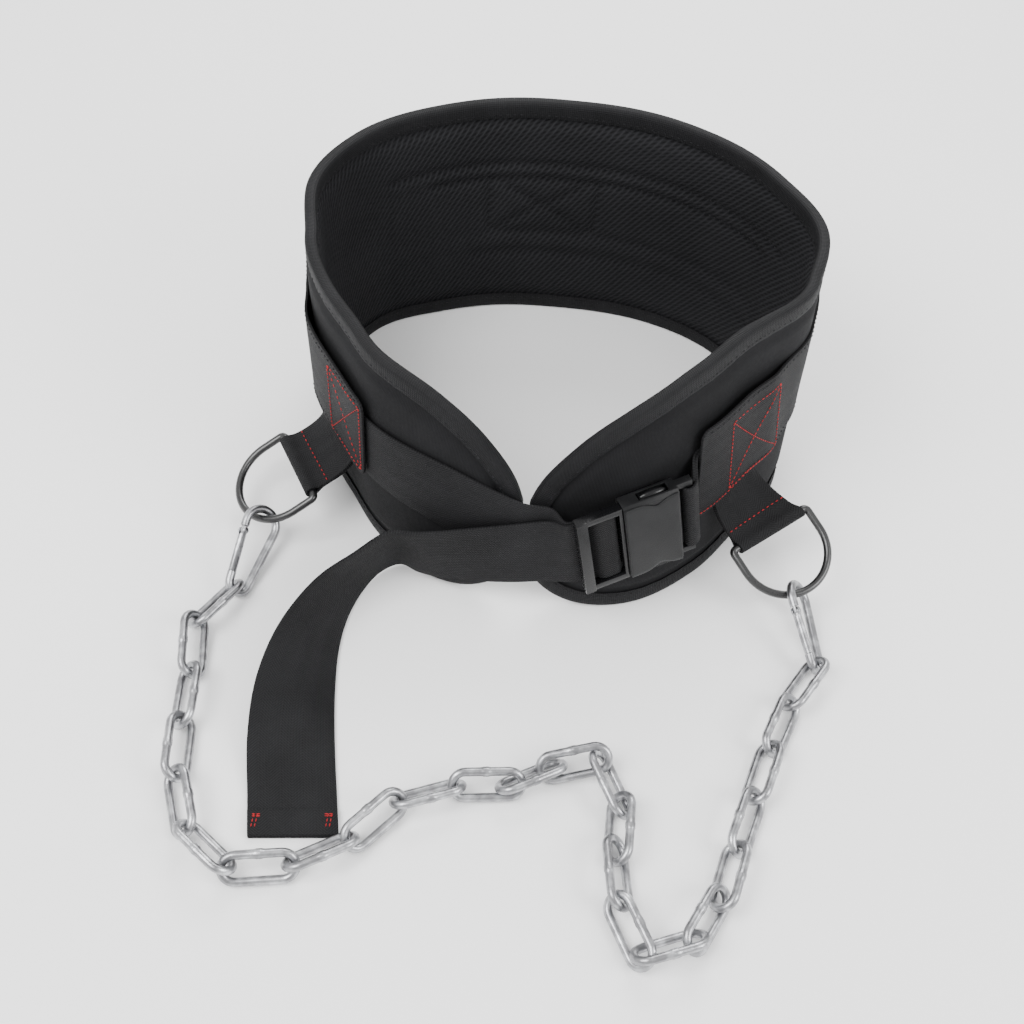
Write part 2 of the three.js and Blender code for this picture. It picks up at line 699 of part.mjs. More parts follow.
// Free end: lower edge from where it leaves the wall, and lean of the upper edge from it
const tailTable = [
  { x: -13, y: -7, z: -1.8, leanX: -13, leanY: -20, rise: 44 },
  { x: -22, y: -22, z: -2.9, leanX: -20, leanY: -19, rise: 42 },
  { x: -28, y: -42, z: -2.9, leanX: -26, leanY: -17, rise: 39 },
  { x: -30, y: -65, z: -2.9, leanX: -34, leanY: -15, rise: 33 },
  { x: -28, y: -93, z: -2.9, leanX: -42, leanY: -12, rise: 22 },
  { x: -23, y: -126, z: -2.9, leanX: -48, leanY: -8, rise: 9 },
  { x: -16, y: -162, z: -2.9, leanX: -49.5, leanY: -5, rise: 0.5 },
  { x: -11, y: -187, z: -2.9, leanX: -49.5, leanY: -5, rise: 0 },
];
// Stations of the strap, few where the ends of the pad have many
function strapStations(from, to) {
  const kept = [from];
  for (const run of stationsBetween(from, to)) {
    if (run - kept[kept.length - 1] > strapStep && to - run > strapStep) kept.push(run);
  }
  return [...kept, to];
}
function edgePair(low, toward) {
  const wide = toward.clone().sub(low).normalize();
  return [low, low.clone().addScaledVector(wide, strapWidth)];
}
function makeStrap() {
  const half = strapWidth / 2;
  const stations = [];
  const meet = strapRear[strapRear.length - 1].run;
  for (const run of strapStations(strapRoot, meet)) {
    const [height, out] = ['height', 'out'].map((key) => readTable(strapRear, 'run', key, run));
    stations.push(edgePair(wallPoint(run, height - half, out), wallPoint(run, height + half, out)));
  }
  const fold = [[-buckleEnd - 2, -4.9], [-28, -4.8], [-21, -turnRadius], [foldBar.to, -turnRadius]];
  for (const w of [-45, 0, 45]) {
    fold.push([foldBar.to + turnRadius * Math.cos(w * deg) * 1.06,
      turnRadius * Math.sin(w * deg) * 1.06]);
  }
  fold.push([foldBar.to, turnRadius], [foldBar.from, turnRadius], [-25.4, 1.6], [-28.6, -1.9],
    [-buckleEnd + 5, -2.4], [-buckleEnd - 2, -2.5]);
  for (const [x, y] of fold) stations.push([buckleAt(x, y, -half), buckleAt(x, y, half)]);
  for (const run of strapStations(strapFront[0].run, meet).reverse()) {
    const keys = ['height', 'out', 'tip'];
    const [height, out, tip] = keys.map((key) => readTable(strapFront, 'run', key, run));
    stations.push(edgePair(wallPoint(run, height, out), wallPoint(run, height + strapWidth, out + tip)));
  }
  const [leaveLow] = stations[stations.length - 1];
  for (const row of tailTable) {
    const low = leaveLow.clone().add(vec(row.x, row.y, row.z));
    stations.push(edgePair(low, low.clone().add(vec(row.leanX, row.leanY, row.rise))));
  }
  addPiece('main_strap', ribbon(stations, strapThickness), 'web', 0.85, 0);
}
makeStrap();

// Short doubled strap that holds the other half of the buckle, from under the band round
// the end bar of the shell
function makeShortStrap() {
  const layer = padOut + loopThick / 2;
  const half = strapWidth / 2;
  const rows = [{ run: bandEndRight + 15, height: 84 }, { run: bandEndRight - 0.5, height: 81.5 }];
  const sections = [-1, 1].map((side) => {
    const at = (x, y) => buckleAt(eyeX + x, y, side * half);
    const path = rows.map((row) => wallPoint(row.run, row.height + side * half, layer));
    path.push(at(eyeOut + 0.5, -1));
    const outs = path.map((p, i) => {
      const along = path[Math.min(i + 1, 2)].clone().sub(path[Math.max(0, i - 1)]).normalize();
      const out = along.cross(buckleZ).normalize();
      return out.dot(buckleY) > 0 ? out : out.negate();
    });
    const outer = path.map((p, i) => p.clone().addScaledVector(outs[i], strapThickness));
    const inner = path.map((p, i) => p.clone().addScaledVector(outs[i], -strapThickness));
    const round = [70, 110, 150, 180, 210, 250, 290].map((w) => at(
      eyeOut * Math.cos(w * deg) * 1.03, eyeOut * Math.sin(w * deg) * 1.03));
    const hole = [];
    for (let j = 8; j > 0; j -= 1) {
      const w = (j - 0.5) / 8 * 2 * Math.PI;
      hole.push(at(eyeIn * Math.cos(w), eyeIn * Math.sin(w)));
    }
    return [[...outer, ...round, ...inner.reverse()], hole];
  });
  addPiece('short_strap', loft(sections, false), 'web', 0.85, 0);
}
makeShortStrap();

// Least distance between two closed or open lines of points
function segmentGap(p1, q1, p2, q2) {
  const d1 = q1.clone().sub(p1);
  const d2 = q2.clone().sub(p2);
  const r = p1.clone().sub(p2);
  const a = d1.dot(d1);
  const e = d2.dot(d2);
  const f = d2.dot(r);
  const c = d1.dot(r);
  const b = d1.dot(d2);
  const denom = a * e - b * b;
  let k = denom > 1e-9 ? clamp((b * f - c * e) / denom, 0, 1) : 0;
  let t = (b * k + f) / e;
  if (t < 0) {
    t = 0;
    k = clamp(-c / a, 0, 1);
  } else if (t > 1) {
    t = 1;
    k = clamp((b - c) / a, 0, 1);
  }
  return r.addScaledVector(d1, k).addScaledVector(d2, -t).length();
}
function lineGap(one, two) {
  let least = Infinity;
  for (let i = 1; i < one.length; i += 1) {
    for (let j = 1; j < two.length; j += 1) {
      least = Math.min(least, segmentGap(one[i - 1], one[i], two[j - 1], two[j]));
    }
  }
  return least;
}
const closeLine = (points) => [...points, points[0]];
// Largest step for which the test still holds
function furthest(from, to, holds) {
  let good = from;
  let bad = to;
  for (let i = 0; i < 26; i += 1) {
    const mid = (good + bad) / 2;
    if (holds(mid)) good = mid; else bad = mid;
  }
  return good;
}

// Snap hook in its own plane: wide end at the start, narrow end along X, gate on the Y side
const wideRadius = (hookWide - hookWire) / 2;
const narrowRadius = (hookNarrow - hookWire) / 2;
const hookSpan = hookLength - hookWide / 2 - hookNarrow / 2;
const hookSlant = Math.asin((wideRadius - narrowRadius) / hookSpan);
const sideLength = hookSpan * Math.cos(hookSlant);
const pivotBack = 7;
const noseBack = 5;
function hookSidePoint(side, step) {
  const x = wideRadius * Math.sin(hookSlant) + step * Math.cos(hookSlant);
  const y = wideRadius * Math.cos(hookSlant) - step * Math.sin(hookSlant);
  return [x, side * y];
}
const hingeBack = 3.2;
function hookOutline() {
  const flat = [hookSidePoint(1, pivotBack - hingeBack)];
  const turnWide = Math.PI / 2 - hookSlant;
  for (let i = 0; i <= 8; i += 1) {
    const w = mix(turnWide, 2 * Math.PI - turnWide, i / 8);
    flat.push([wideRadius * Math.cos(w), wideRadius * Math.sin(w)]);
  }
  for (let i = 0; i <= 6; i += 1) {
    const w = mix(-turnWide, turnWide, i / 6);
    flat.push([hookSpan + narrowRadius * Math.cos(w), narrowRadius * Math.sin(w)]);
  }
  flat.push(hookSidePoint(1, sideLength - noseBack));
  return flat;
}
function hookPlace(pose, [x, y], z = 0) {
  return pose.centre.clone().addScaledVector(pose.along, x)
    .addScaledVector(pose.gateSide, y).addScaledVector(pose.normal, z);
}
const hookLine = (pose) => hookOutline().map((p) => hookPlace(pose, p));

// Hooks hang on the round sides of the rings and slope down until the narrow end rests.
// heading is the way seen from above, roll how far the hook lies over on its right side.
const hookTable = {
  left: { heading: -102, roll: 44, gate: -1 },
  right: { heading: -74, roll: 48, gate: -1 },
};
function hookPose(side, pitch) {
  const row = hookTable[side];
  const ring = rings[side];
  const heading = row.heading * deg;
  const across = vec(-Math.sin(heading), Math.cos(heading), 0);
  const along = vec(Math.cos(heading), Math.sin(heading), 0).multiplyScalar(Math.cos(pitch));
  along.z = -Math.sin(pitch);
  const top = along.clone().cross(across).normalize();
  const normal = top.multiplyScalar(Math.cos(row.roll * deg))
    .addScaledVector(across, Math.sin(row.roll * deg)).normalize();
  const gateSide = normal.clone().cross(along).multiplyScalar(row.gate);
  const away = ring.normal.clone().cross(normal).normalize();
  if (away.dot(along) < 0) away.negate();
  const ringLine = closeLine(ringPath(ring));
  const wires = (ringWire + hookWire) / 2 + pieceGap;
  const at = (d) => ({
    along, normal, gateSide, centre: ring.arcCentre.clone().addScaledVector(away, d),
  });
  const reach = furthest(ringRadius - 2, ringRadius + wideRadius, (d) => lineGap(
    ringLine, hookLine(at(d)).slice(0, 12)) > wires);
  return at(reach);
}
function lowestOf(pose) {
  const skin = wirePoints(hookLine(pose), hookWire / 2, 8, false, pose.normal, 0.5);
  return Math.min(...skin.flat().map((p) => p.z));
}
const floorGap = 0.3;
const hooks = {};
for (const side of ['left', 'right']) {
  const pitch = furthest(0, 0.6, (p) => lowestOf(hookPose(side, p)) > floorGap);
  const pose = hookPose(side, pitch);
  hooks[side] = { ...pose, far: hookPlace(pose, [hookSpan, 0]) };
}
function makeHook(side) {
  const pose = hooks[side];
  const toWorld = new THREE.Matrix4().makeBasis(pose.along, pose.gateSide,
    pose.along.clone().cross(pose.gateSide)).setPosition(pose.centre);
  const flat = hookOutline().map(([x, y]) => vec(x, y, 0));
  const skin = wirePoints(flat, hookWire / 2, 8, false, up, 0.5);
  let body = asManifold(loft(skin.map((ring) => [ring]), false));
  const pivot = vec(...hookSidePoint(1, pivotBack), 0);
  const gateTurn = new THREE.Matrix4().makeRotationZ(-hookSlant).setPosition(pivot);
  const turned = (solid) => asManifold(fromManifold(solid).applyMatrix4(gateTurn));
  const disc = (radius, sides, z0, z1) => {
    const solid = new THREE.CylinderGeometry(radius, radius, z1 - z0, sides);
    solid.rotateX(Math.PI / 2);
    solid.translate(0, 0, (z0 + z1) / 2);
    return asManifold(solid);
  };
  const tongue = block(-hingeBack - 1.5, 0, -2, 2, -1, 1).add(disc(2, 10, -1, 1));
  body = body.add(turned(tongue));
  const gateLength = sideLength - pivotBack - noseBack - lapGap;
  const rodRadius = hookWire / 2 - 0.2;
  const rod = wirePoints([vec(0, 0, 0), vec(gateLength, 0, 0)], rodRadius, 8, false, up, 0.5);
  let gate = asManifold(loft(rod.map((ring) => [ring]), false));
  gate = gate.add(disc(rodRadius, 10, -rodRadius * 0.92, rodRadius * 0.92));
  gate = gate.add(disc(1.5, 8, -rodRadius - 0.25, rodRadius + 0.25));
  gate = gate.subtract(block(-4, 3, -4, 4, -1 - pieceGap, 1 + pieceGap));
  addPiece(`hook_${side}`, fromManifold(body).applyMatrix4(toWorld), 'metal', 0.35, 1);
  addPiece(`gate_${side}`, fromManifold(turned(gate)).applyMatrix4(toWorld), 'metal', 0.35, 1);
  const axis = pose.along.clone().cross(pose.gateSide);
  pose.pivot = pivot.clone().applyMatrix4(toWorld);
  pose.axis = axis;
}
makeHook('left');
makeHook('right');

// Chain of oval links lying on the surface, each link rolled half over the other way
const bendRadius = (linkWidth - linkWire) / 2;
const linkStraight = linkLength - linkWidth;
const linkRoll = 45;
const linkRest = bendRadius * Math.sin(linkRoll * deg) + linkWire / 2 / Math.cos(Math.PI / 6) + floorGap;
const tautStep = 2 * bendRadius - linkWire - pieceGap;
// Chosen points of the route, from the left hook to the right one: across from the middle
// of the two hooks, ahead of them, and give, the share it moves to close the run
const routeTable = [
  { across: -198, ahead: -14, give: 0 }, { across: -194, ahead: -50, give: 0 },
  { across: -191, ahead: -86, give: 0 }, { across: -188, ahead: -121, give: 0 },
  { across: -177, ahead: -152, give: 0.6 }, { across: -154, ahead: -175, give: 1 },
  { across: -118, ahead: -172, give: 1 }, { across: -87, ahead: -160, give: 0.5 },
  { across: -64, ahead: -136, give: 0 }, { across: -36, ahead: -121, give: 0 },
  { across: 1, ahead: -116, give: 0 }, { across: 23, ahead: -104, give: 0 },
  { across: 45, ahead: -93, give: 0 }, { across: 64, ahead: -106, give: 0 },
  { across: 64, ahead: -143, give: 0 }, { across: 67, ahead: -167, give: 0 },
  { across: 74, ahead: -204, give: 0 }, { across: 112, ahead: -192, give: 0 },
  { across: 124, ahead: -163, give: 0 }, { across: 132, ahead: -136, give: 0 },
  { across: 143, ahead: -104, give: 0 }, { across: 155, ahead: -69, give: 0 },
  { across: 168, ahead: -39, give: 0 },
];
// How far a link has slid into the one before it, by number of the later link
const slipTable = { 12: 8, 13: 8, 14: 7, 15: 7, 16: 8, 17: 2, 18: 5, 19: 8, 20: 5 };
function linkFlat() {
  const flat = [];
  const steps = 5;
  for (const side of [1, -1]) {
    for (let i = 0; i <= steps; i += 1) {
      const w = mix(-Math.PI / 2, Math.PI / 2, i / steps) + (side < 0 ? Math.PI : 0);
      const centre = side > 0 ? linkStraight : 0;
      flat.push([centre + bendRadius * Math.cos(w), bendRadius * Math.sin(w)]);
    }
  }
  return flat;
}
const linkShape = linkFlat();
function linkFrame(near, heading, pitch, roll) {
  const along = vec(Math.cos(heading), Math.sin(heading), 0).multiplyScalar(Math.cos(pitch));
  along.z = Math.sin(pitch);
  const side = vec(-Math.sin(heading), Math.cos(heading), 0);
  const top = along.clone().cross(side).negate().normalize();
  if (top.z < 0) top.negate();
  const normal = top.clone().multiplyScalar(Math.cos(roll * deg))
    .addScaledVector(side, Math.sin(roll * deg)).normalize();
  const across = normal.clone().cross(along).normalize();
  const line = closeLine(linkShape.map(([x, y]) => near.clone()
    .addScaledVector(along, x).addScaledVector(across, y)));
  return { near, along, normal, line, far: near.clone().addScaledVector(along, linkStraight) };
}
function sharedWay(one, two) {
  const way = one.normal.clone().cross(two.normal).normalize();
  const mean = one.along.clone().add(two.along);
  return way.dot(mean) < 0 ? way.negate() : way;
}
function hangOn(before, heading, roll, farHeight, slip, wires) {
  let pitch = 0;
  let link = null;
  for (let pass = 0; pass < 4; pass += 1) {
    const way = sharedWay(before, linkFrame(before.far, heading, pitch, roll));
    const at = (d) => linkFrame(before.far.clone().addScaledVector(way, d), heading, pitch, roll);
    let start = tautStep + 2;
    while (start > 0 && lineGap(before.line, at(start).line) <= wires) start -= 0.25;
    const step = furthest(start, start + 0.25, (d) => lineGap(before.line, at(d).line) > wires);
    let slide = slip;
    while (slide > 0 && lineGap(before.line, at(step - slide).line) <= wires) slide -= 0.25;
    link = at(step - Math.max(0, slide));
    if (slide > 0.5) {
      const side = vec(-Math.sin(heading), Math.cos(heading), 0);
      const aside = (d) => linkFrame(link.near.clone().addScaledVector(side, d), heading, pitch, roll);
      const clear = (d) => lineGap(before.line, aside(d).line) > wires;
      const right = furthest(0, 9, clear);
      const left = furthest(0, 9, (d) => clear(-d));
      link = aside(right < left ? right : -left);
    }
    pitch = Math.asin(clamp((farHeight - link.near.z) / linkStraight, -0.5, 0.5));
  }
  return link;
}
function layChain(bulge) {
  const start = hooks.left;
  const end = hooks.right;
  const middle = lerp3(start.far, end.far, 0.5);
  const knots = [start.far.clone().setZ(0)];
  for (const row of routeTable) {
    knots.push(vec(middle.x + row.across, middle.y + row.ahead - bulge * row.give, 0));
  }
  knots.push(end.far.clone().setZ(0));
  const route = new THREE.CatmullRomCurve3(knots, false, 'centripetal').getPoints(900);
  const links = [];
  let before = { far: start.far, normal: start.normal, along: start.along, line: hookLine(start) };
  let spot = start.far.clone().addScaledVector(start.along, tautStep / 2).setZ(0);
  let mark = 0;
  const headings = [];
  const firstRoll = -1;
  for (let i = 1; i < linkCount; i += 1) {
    const span = linkStraight + tautStep - ((slipTable[i] || 0) + (slipTable[i + 1] || 0)) / 2;
    while (mark < route.length - 1 && route[mark].distanceTo(spot) < span) mark += 1;
    const heading = Math.atan2(route[mark].y - spot.y, route[mark].x - spot.x);
    headings.push(heading);
    spot.add(vec(Math.cos(heading), Math.sin(heading), 0).multiplyScalar(span));
  }
  for (let i = 1; i < linkCount; i += 1) {
    const roll = (i % 2 ? 1 : -1) * linkRoll * firstRoll;
    const ahead = i < linkCount - 1 ? headings[i] : headings[i - 1];
    const turn = Math.sin(ahead - headings[i - 1]) * (i % 2 ? 1 : -1) * firstRoll;
    const farHeight = linkRest + Math.max(0, turn * tautStep * 0.52);
    const wires = (i === 1 ? (hookWire + linkWire) / 2 : linkWire) + pieceGap;
    const link = hangOn(before, headings[i - 1], roll, farHeight, slipTable[i] || 0, wires);
    links.push(link);
    before = link;
  }
  const goalPiece = { normal: end.normal, along: end.along.clone().negate() };
  const endWires = (linkWire + hookWire) / 2 + pieceGap;
  const roll = (linkCount % 2 ? 1 : -1) * linkRoll * firstRoll;
  let heading = Math.atan2(end.far.y - before.far.y, end.far.x - before.far.x);
  let last = null;
  let goal = null;
  for (let pass = 0; pass < 6; pass += 1) {
    last = hangOn(before, heading, roll, goal ? goal.z : linkRest, 0, linkWire + pieceGap);
    const way = sharedWay(last, goalPiece);
    const placed = last;
    const lineAt = (d) => placed.line.map((p) => p.clone().add(end.far).sub(placed.far)
      .addScaledVector(way, -d));
    let join = bendRadius + narrowRadius;
    while (join > 0 && lineGap(lineAt(join), hookLine(end)) <= endWires) join -= 0.1;
    goal = end.far.clone().addScaledVector(way, -join);
    heading = Math.atan2(goal.y - last.near.y, goal.x - last.near.x);
  }
  links.push(last);
  return { links, miss: goal.distanceTo(last.near) - linkStraight };
}
let slack = -60;
let tight = 120;
for (let i = 0; i < 24; i += 1) {
  const mid = (slack + tight) / 2;
  if (layChain(mid).miss < 0) slack = mid; else tight = mid;
}
const chain = layChain((slack + tight) / 2).links;
chain.forEach((link, i) => {
  const skin = wirePoints(link.line.slice(0, -1), linkWire / 2, 6, true, link.normal, 0);
  const name = `chain_link_${String(i + 1).padStart(2, '0')}`;
  addPiece(name, loft(skin.map((ring) => [ring]), true), 'metal', 0.4, 1);
});

const root = new THREE.Group();
root.name = 'dip_belt';
for (const mesh of pieces) root.add(mesh);
export default root;
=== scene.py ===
import bpy, math
from mathutils import Matrix, Vector, noise
import numpy as np


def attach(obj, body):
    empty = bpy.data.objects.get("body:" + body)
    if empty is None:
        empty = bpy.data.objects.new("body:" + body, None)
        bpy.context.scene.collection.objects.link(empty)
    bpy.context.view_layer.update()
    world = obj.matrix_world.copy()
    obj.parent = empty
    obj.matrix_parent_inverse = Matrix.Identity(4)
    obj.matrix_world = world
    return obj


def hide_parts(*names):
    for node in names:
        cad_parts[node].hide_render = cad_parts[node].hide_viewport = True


# Dip belt: padded wall, binding, webbing, buckle, rings, hooks and chain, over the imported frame
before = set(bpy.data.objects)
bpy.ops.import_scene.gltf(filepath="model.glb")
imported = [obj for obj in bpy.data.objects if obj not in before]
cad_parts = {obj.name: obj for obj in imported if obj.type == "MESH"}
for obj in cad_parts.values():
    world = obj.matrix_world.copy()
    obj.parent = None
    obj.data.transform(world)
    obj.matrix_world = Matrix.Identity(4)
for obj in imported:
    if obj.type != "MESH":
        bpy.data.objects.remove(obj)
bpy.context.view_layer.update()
mm = 0.001
deg = math.pi / 180

# Camera, at the photograph's angle
cameraSettings = {"place": (-0.0188, -0.7432, 0.6792), "down": 51.63, "roll": 5.31, "lens": 45.70}


def placeCamera():
    s = cameraSettings
    tilt, roll = s["down"] * deg, s["roll"] * deg
    floorUp = Matrix.Rotation(roll, 3, "Z") @ Vector((0, -math.cos(tilt), -math.sin(tilt)))
    look = Vector((0, 0, 1))
    fy = (look - look.dot(floorUp) * floorUp).normalized()
    fx = fy.cross(floorUp)
    axes = [Vector((fx[k], fy[k], floorUp[k])) for k in range(3)]
    data = bpy.data.cameras.new("photoCamera")
    data.sensor_width = 36
    data.lens = s["lens"]
    data.clip_start = 0.02
    cam = bpy.data.objects.new("photoCamera", data)
    bpy.context.scene.collection.objects.link(cam)
    m = Matrix((axes[0], -axes[1], -axes[2])).transposed().to_4x4()
    m.translation = Vector(s["place"])
    cam.matrix_world = m
    bpy.context.scene.camera = cam


placeCamera()
print("camera placed")

# Form of the wall, the same as the solid's: oval plan, swelling foot and leaning sides
wall = {"wide": 304, "deep": 275, "tall": 166, "firstRun": -8.85, "notch": 5,
        "padHalf": 4.5, "rimHalf": 2.4, "padOut": 4.9}
leanRows = [(-180, 0, 18), (-150, -3.5, 15), (-125, 5, 8), (-105, 4.3, 9), (-90, -3.6, 6),
            (-75, -12, 3), (-60, -16.8, 1), (-42, -11.8, -2), (-25, -4.2, -14), (0, -1.4, -25),
            (20, 0, -29), (40, -7.8, -30), (60, -12.1, -27), (75, -3.4, -25), (90, 5.3, -8),
            (104, 4.4, 5), (125, 1.5, 4), (150, -1.5, 10)]
endRows = [(0, 0.235, 0.49), (3.5, 0.175, 0.55), (8, 0.125, 0.605), (14, 0.085, 0.66), (22, 0.05, 0.72),
           (33, 0.022, 0.79), (48, 0.006, 0.86), (68, 0, 0.925), (92, 0, 0.965), (120, 0, 0.98),
           (150, 0, 0.99), (180, 0, 1)]


def readRows(rows, column, at, period=0):
    n = len(rows)
    if not period:
        if at <= rows[0][0]:
            return rows[0][column]
        if at >= rows[-1][0]:
            return rows[-1][column]
        row = lambda i: rows[min(max(i, 0), n - 1)]
        place = lambda i: row(i)[0]
    else:
        row = lambda i: rows[i % n]
        place = lambda i: rows[i % n][0] + period * (i // n)
    i = 0
    while at >= place(i + 1):
        i += 1

    def slope(j):
        span = place(j + 1) - place(j - 1)
        return (row(j + 1)[column] - row(j - 1)[column]) / span if span > 0 else 0
    x0 = place(i)
    h = place(i + 1) - x0
    k = (at - x0) / h
    a, b = row(i)[column], row(i + 1)[column]
    return (a * (2 * k**3 - 3 * k * k + 1) + b * (3 * k * k - 2 * k**3)
            + h * (slope(i) * (k**3 - 2 * k * k + k) + slope(i + 1) * (k**3 - k * k)))


def smoothStep(v):
    k = min(1, max(0, v))
    return k * k * (3 - 2 * k)


def planPoint(angle):
    s, c = math.sin(angle * deg), math.cos(angle * deg)
    power = 2 / (2.45 - 0.25 * c)
    x = wall["wide"] / 2 * math.copysign(abs(s) ** power, s)
    y = wall["deep"] / 2 * math.copysign(abs(c) ** power, c)
    return Vector((x, -wall["deep"] / 2 - y, 0))


planSteps = 1440
planRuns = [0.0]
for step in range(1, planSteps + 1):
    planRuns.append(planRuns[-1] + (planPoint(step / 4) - planPoint((step - 1) / 4)).length)
girth = planRuns[-1]
firstRun = wall["firstRun"]
lastRun = firstRun + girth - wall["notch"]
wallCache = {}


def wallColumn(run):
    key = round(run % girth, 3)
    if key not in wallCache:
        angle = float(np.interp(key, planRuns, [i / 4 for i in range(planSteps + 1)]))
        at = planPoint(angle)
        turn = planPoint(angle + 0.5) - planPoint(angle - 0.5)
        out = Vector((turn.y, -turn.x, 0)).normalized()
        signed = angle - 360 if angle > 180 else angle
        swell = readRows(leanRows, 1, signed + 360, 360)
        lean = readRows(leanRows, 2, signed + 360, 360)
        wallCache[key] = (at + out * swell, out, lean)
    return wallCache[key]


def wallAt(run, height, out):
    at, away, lean = wallColumn(run)
    p = at + away * (out + lean * height / wall["tall"])
    p.z = height
    return p


def endsAt(run):
    along = min(run - firstRun, lastRun - run)
    return along, wall["tall"] * readRows(endRows, 1, along), wall["tall"] * readRows(endRows, 2, along)


# Modelling helpers
def clearSelection():
    if bpy.context.mode != "OBJECT":
        bpy.ops.object.mode_set(mode="OBJECT")
    bpy.ops.object.select_all(action="DESELECT")


def activate(obj):
    clearSelection()
    obj.select_set(True)
    bpy.context.view_layer.objects.active = obj


def gridPiece(name, rows, closeAcross=False, closeAlong=False, fillEnds=False):
    # A grid primitive whose points are moved to rows[along][across], in millimetres, with a
    # UV map in metres of real cloth
    nAlong, nAcross = len(rows), len(rows[0])
    clearSelection()
    bpy.ops.mesh.primitive_grid_add(x_subdivisions=nAlong - 1, y_subdivisions=nAcross - 1, size=1)
    obj = bpy.context.active_object
    obj.name = name
    obj.data.name = name
    me = obj.data
    assert len(me.vertices) == nAlong * nAcross, name
    co = np.array([[rows[i][j][k] * mm for k in range(3)] for j in range(nAcross) for i in range(nAlong)])
    me.vertices.foreach_set("co", co.ravel())
    p = co.reshape(nAcross, nAlong, 3)
    s = np.concatenate([[0], np.cumsum(np.linalg.norm(np.diff(p, axis=1), axis=2).mean(axis=0))])
    t = np.concatenate([[0], np.cumsum(np.linalg.norm(np.diff(p, axis=0), axis=2).mean(axis=1))])
    uv = me.uv_layers[0].data
    for loop in me.loops:
        j, i = divmod(loop.vertex_index, nAlong)
        uv[loop.index].uv = (s[i], t[j])
    me.update()
    activate(obj)
    bpy.ops.object.mode_set(mode="EDIT")
    bpy.ops.mesh.select_all(action="SELECT")
    if closeAcross or closeAlong:
        bpy.ops.mesh.remove_doubles(threshold=0.00002)
    if fillEnds:
        bpy.ops.mesh.select_all(action="DESELECT")
        bpy.ops.mesh.select_non_manifold()
        bpy.ops.mesh.edge_face_add()
        bpy.ops.mesh.select_all(action="SELECT")
    bpy.ops.mesh.normals_make_consistent(inside=False)
    bpy.ops.object.mode_set(mode="OBJECT")
    bpy.ops.object.shade_smooth()
    return obj


def applyAll(obj):
    activate(obj)
    for mod in list(obj.modifiers):
        bpy.ops.object.modifier_apply(modifier=mod.name)


def thicken(obj, thick, edge=0.35):
    solid = obj.modifiers.new("thickness", "SOLIDIFY")
    solid.thickness = thick * mm
    solid.offset = 0
    solid.use_even_offset = True
    bevel = obj.modifiers.new("softEdge", "BEVEL")
    bevel.width = edge * mm
    bevel.segments = 2
    bevel.limit_method = "ANGLE"
    bevel.angle_limit = 60 * deg
    applyAll(obj)
    activate(obj)
    bpy.ops.object.shade_smooth_by_angle(angle=50 * deg)
    return obj


def smoothLine(points, step):
    # Even steps along a Catmull-Rom curve, through points of three or six numbers
    pts = [np.array(p, float) for p in points]
    n = len(pts)
    out = []
    for i in range(n - 1):
        p0 = pts[i - 1] if i > 0 else 2 * pts[0] - pts[1]
        p1, p2 = pts[i], pts[i + 1]
        p3 = pts[i + 2] if i + 2 < n else 2 * pts[-1] - pts[-2]
        d1 = max(1e-6, np.linalg.norm(p1 - p0)) ** 0.5
        d2 = max(1e-6, np.linalg.norm(p2 - p1)) ** 0.5
        d3 = max(1e-6, np.linalg.norm(p3 - p2)) ** 0.5
        m1 = (p1 - p0) / d1 - (p2 - p0) / (d1 + d2) + (p2 - p1) / d2
        m2 = (p2 - p1) / d2 - (p3 - p1) / (d2 + d3) + (p3 - p2) / d3
        m1, m2 = m1 * d2, m2 * d2
        count = max(1, int(round(np.linalg.norm(p2 - p1) / step)))
        for k in range(count):
            t = k / count
            out.append((2 * t**3 - 3 * t * t + 1) * p1 + (t**3 - 2 * t * t + t) * m1
                       + (3 * t * t - 2 * t**3) * p2 + (t**3 - t * t) * m2)
    out.append(pts[-1])
    return out


def webbingPiece(name, pairs, thick, step, across=11):
    # Strip between pairs of low and high edge points
    line = smoothLine([list(low) + list(high) for low, high in pairs], step)
    rows = []
    for row in line:
        low, high = Vector(row[:3]), Vector(row[3:])
        rows.append([low.lerp(high, j / (across - 1)) for j in range(across)])
    return thicken(gridPiece(name, rows), thick)


def finish(obj, material, body="belt", nodes=()):
    obj.data.materials.clear()
    for m in material if isinstance(material, (list, tuple)) else [material]:
        obj.data.materials.append(m)
    if nodes:
        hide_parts(*nodes)
    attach(obj, body)
    return obj


# Shader groups: each puts out masks and heights that change over the surface
def newGroup(name, inputs, outputs):
    group = bpy.data.node_groups.new(name, "ShaderNodeTree")
    for socket, value in inputs:
        s = group.interface.new_socket(name=socket, in_out="INPUT", socket_type="NodeSocketFloat")
        s.default_value = value
    for socket in outputs:
        group.interface.new_socket(name=socket, in_out="OUTPUT", socket_type="NodeSocketFloat")
    return group, group.nodes.new("NodeGroupInput"), group.nodes.new("NodeGroupOutput")


def mathNode(tree, kind, a, b=None, c=None):
    node = tree.nodes.new("ShaderNodeMath")
    node.operation = kind
    for k, value in enumerate((a, b, c)):
        if value is None:
            continue
        if isinstance(value, (int, float)):
            node.inputs[k].default_value = value
        else:
            tree.links.new(value, node.inputs[k])
    return node.outputs[0]


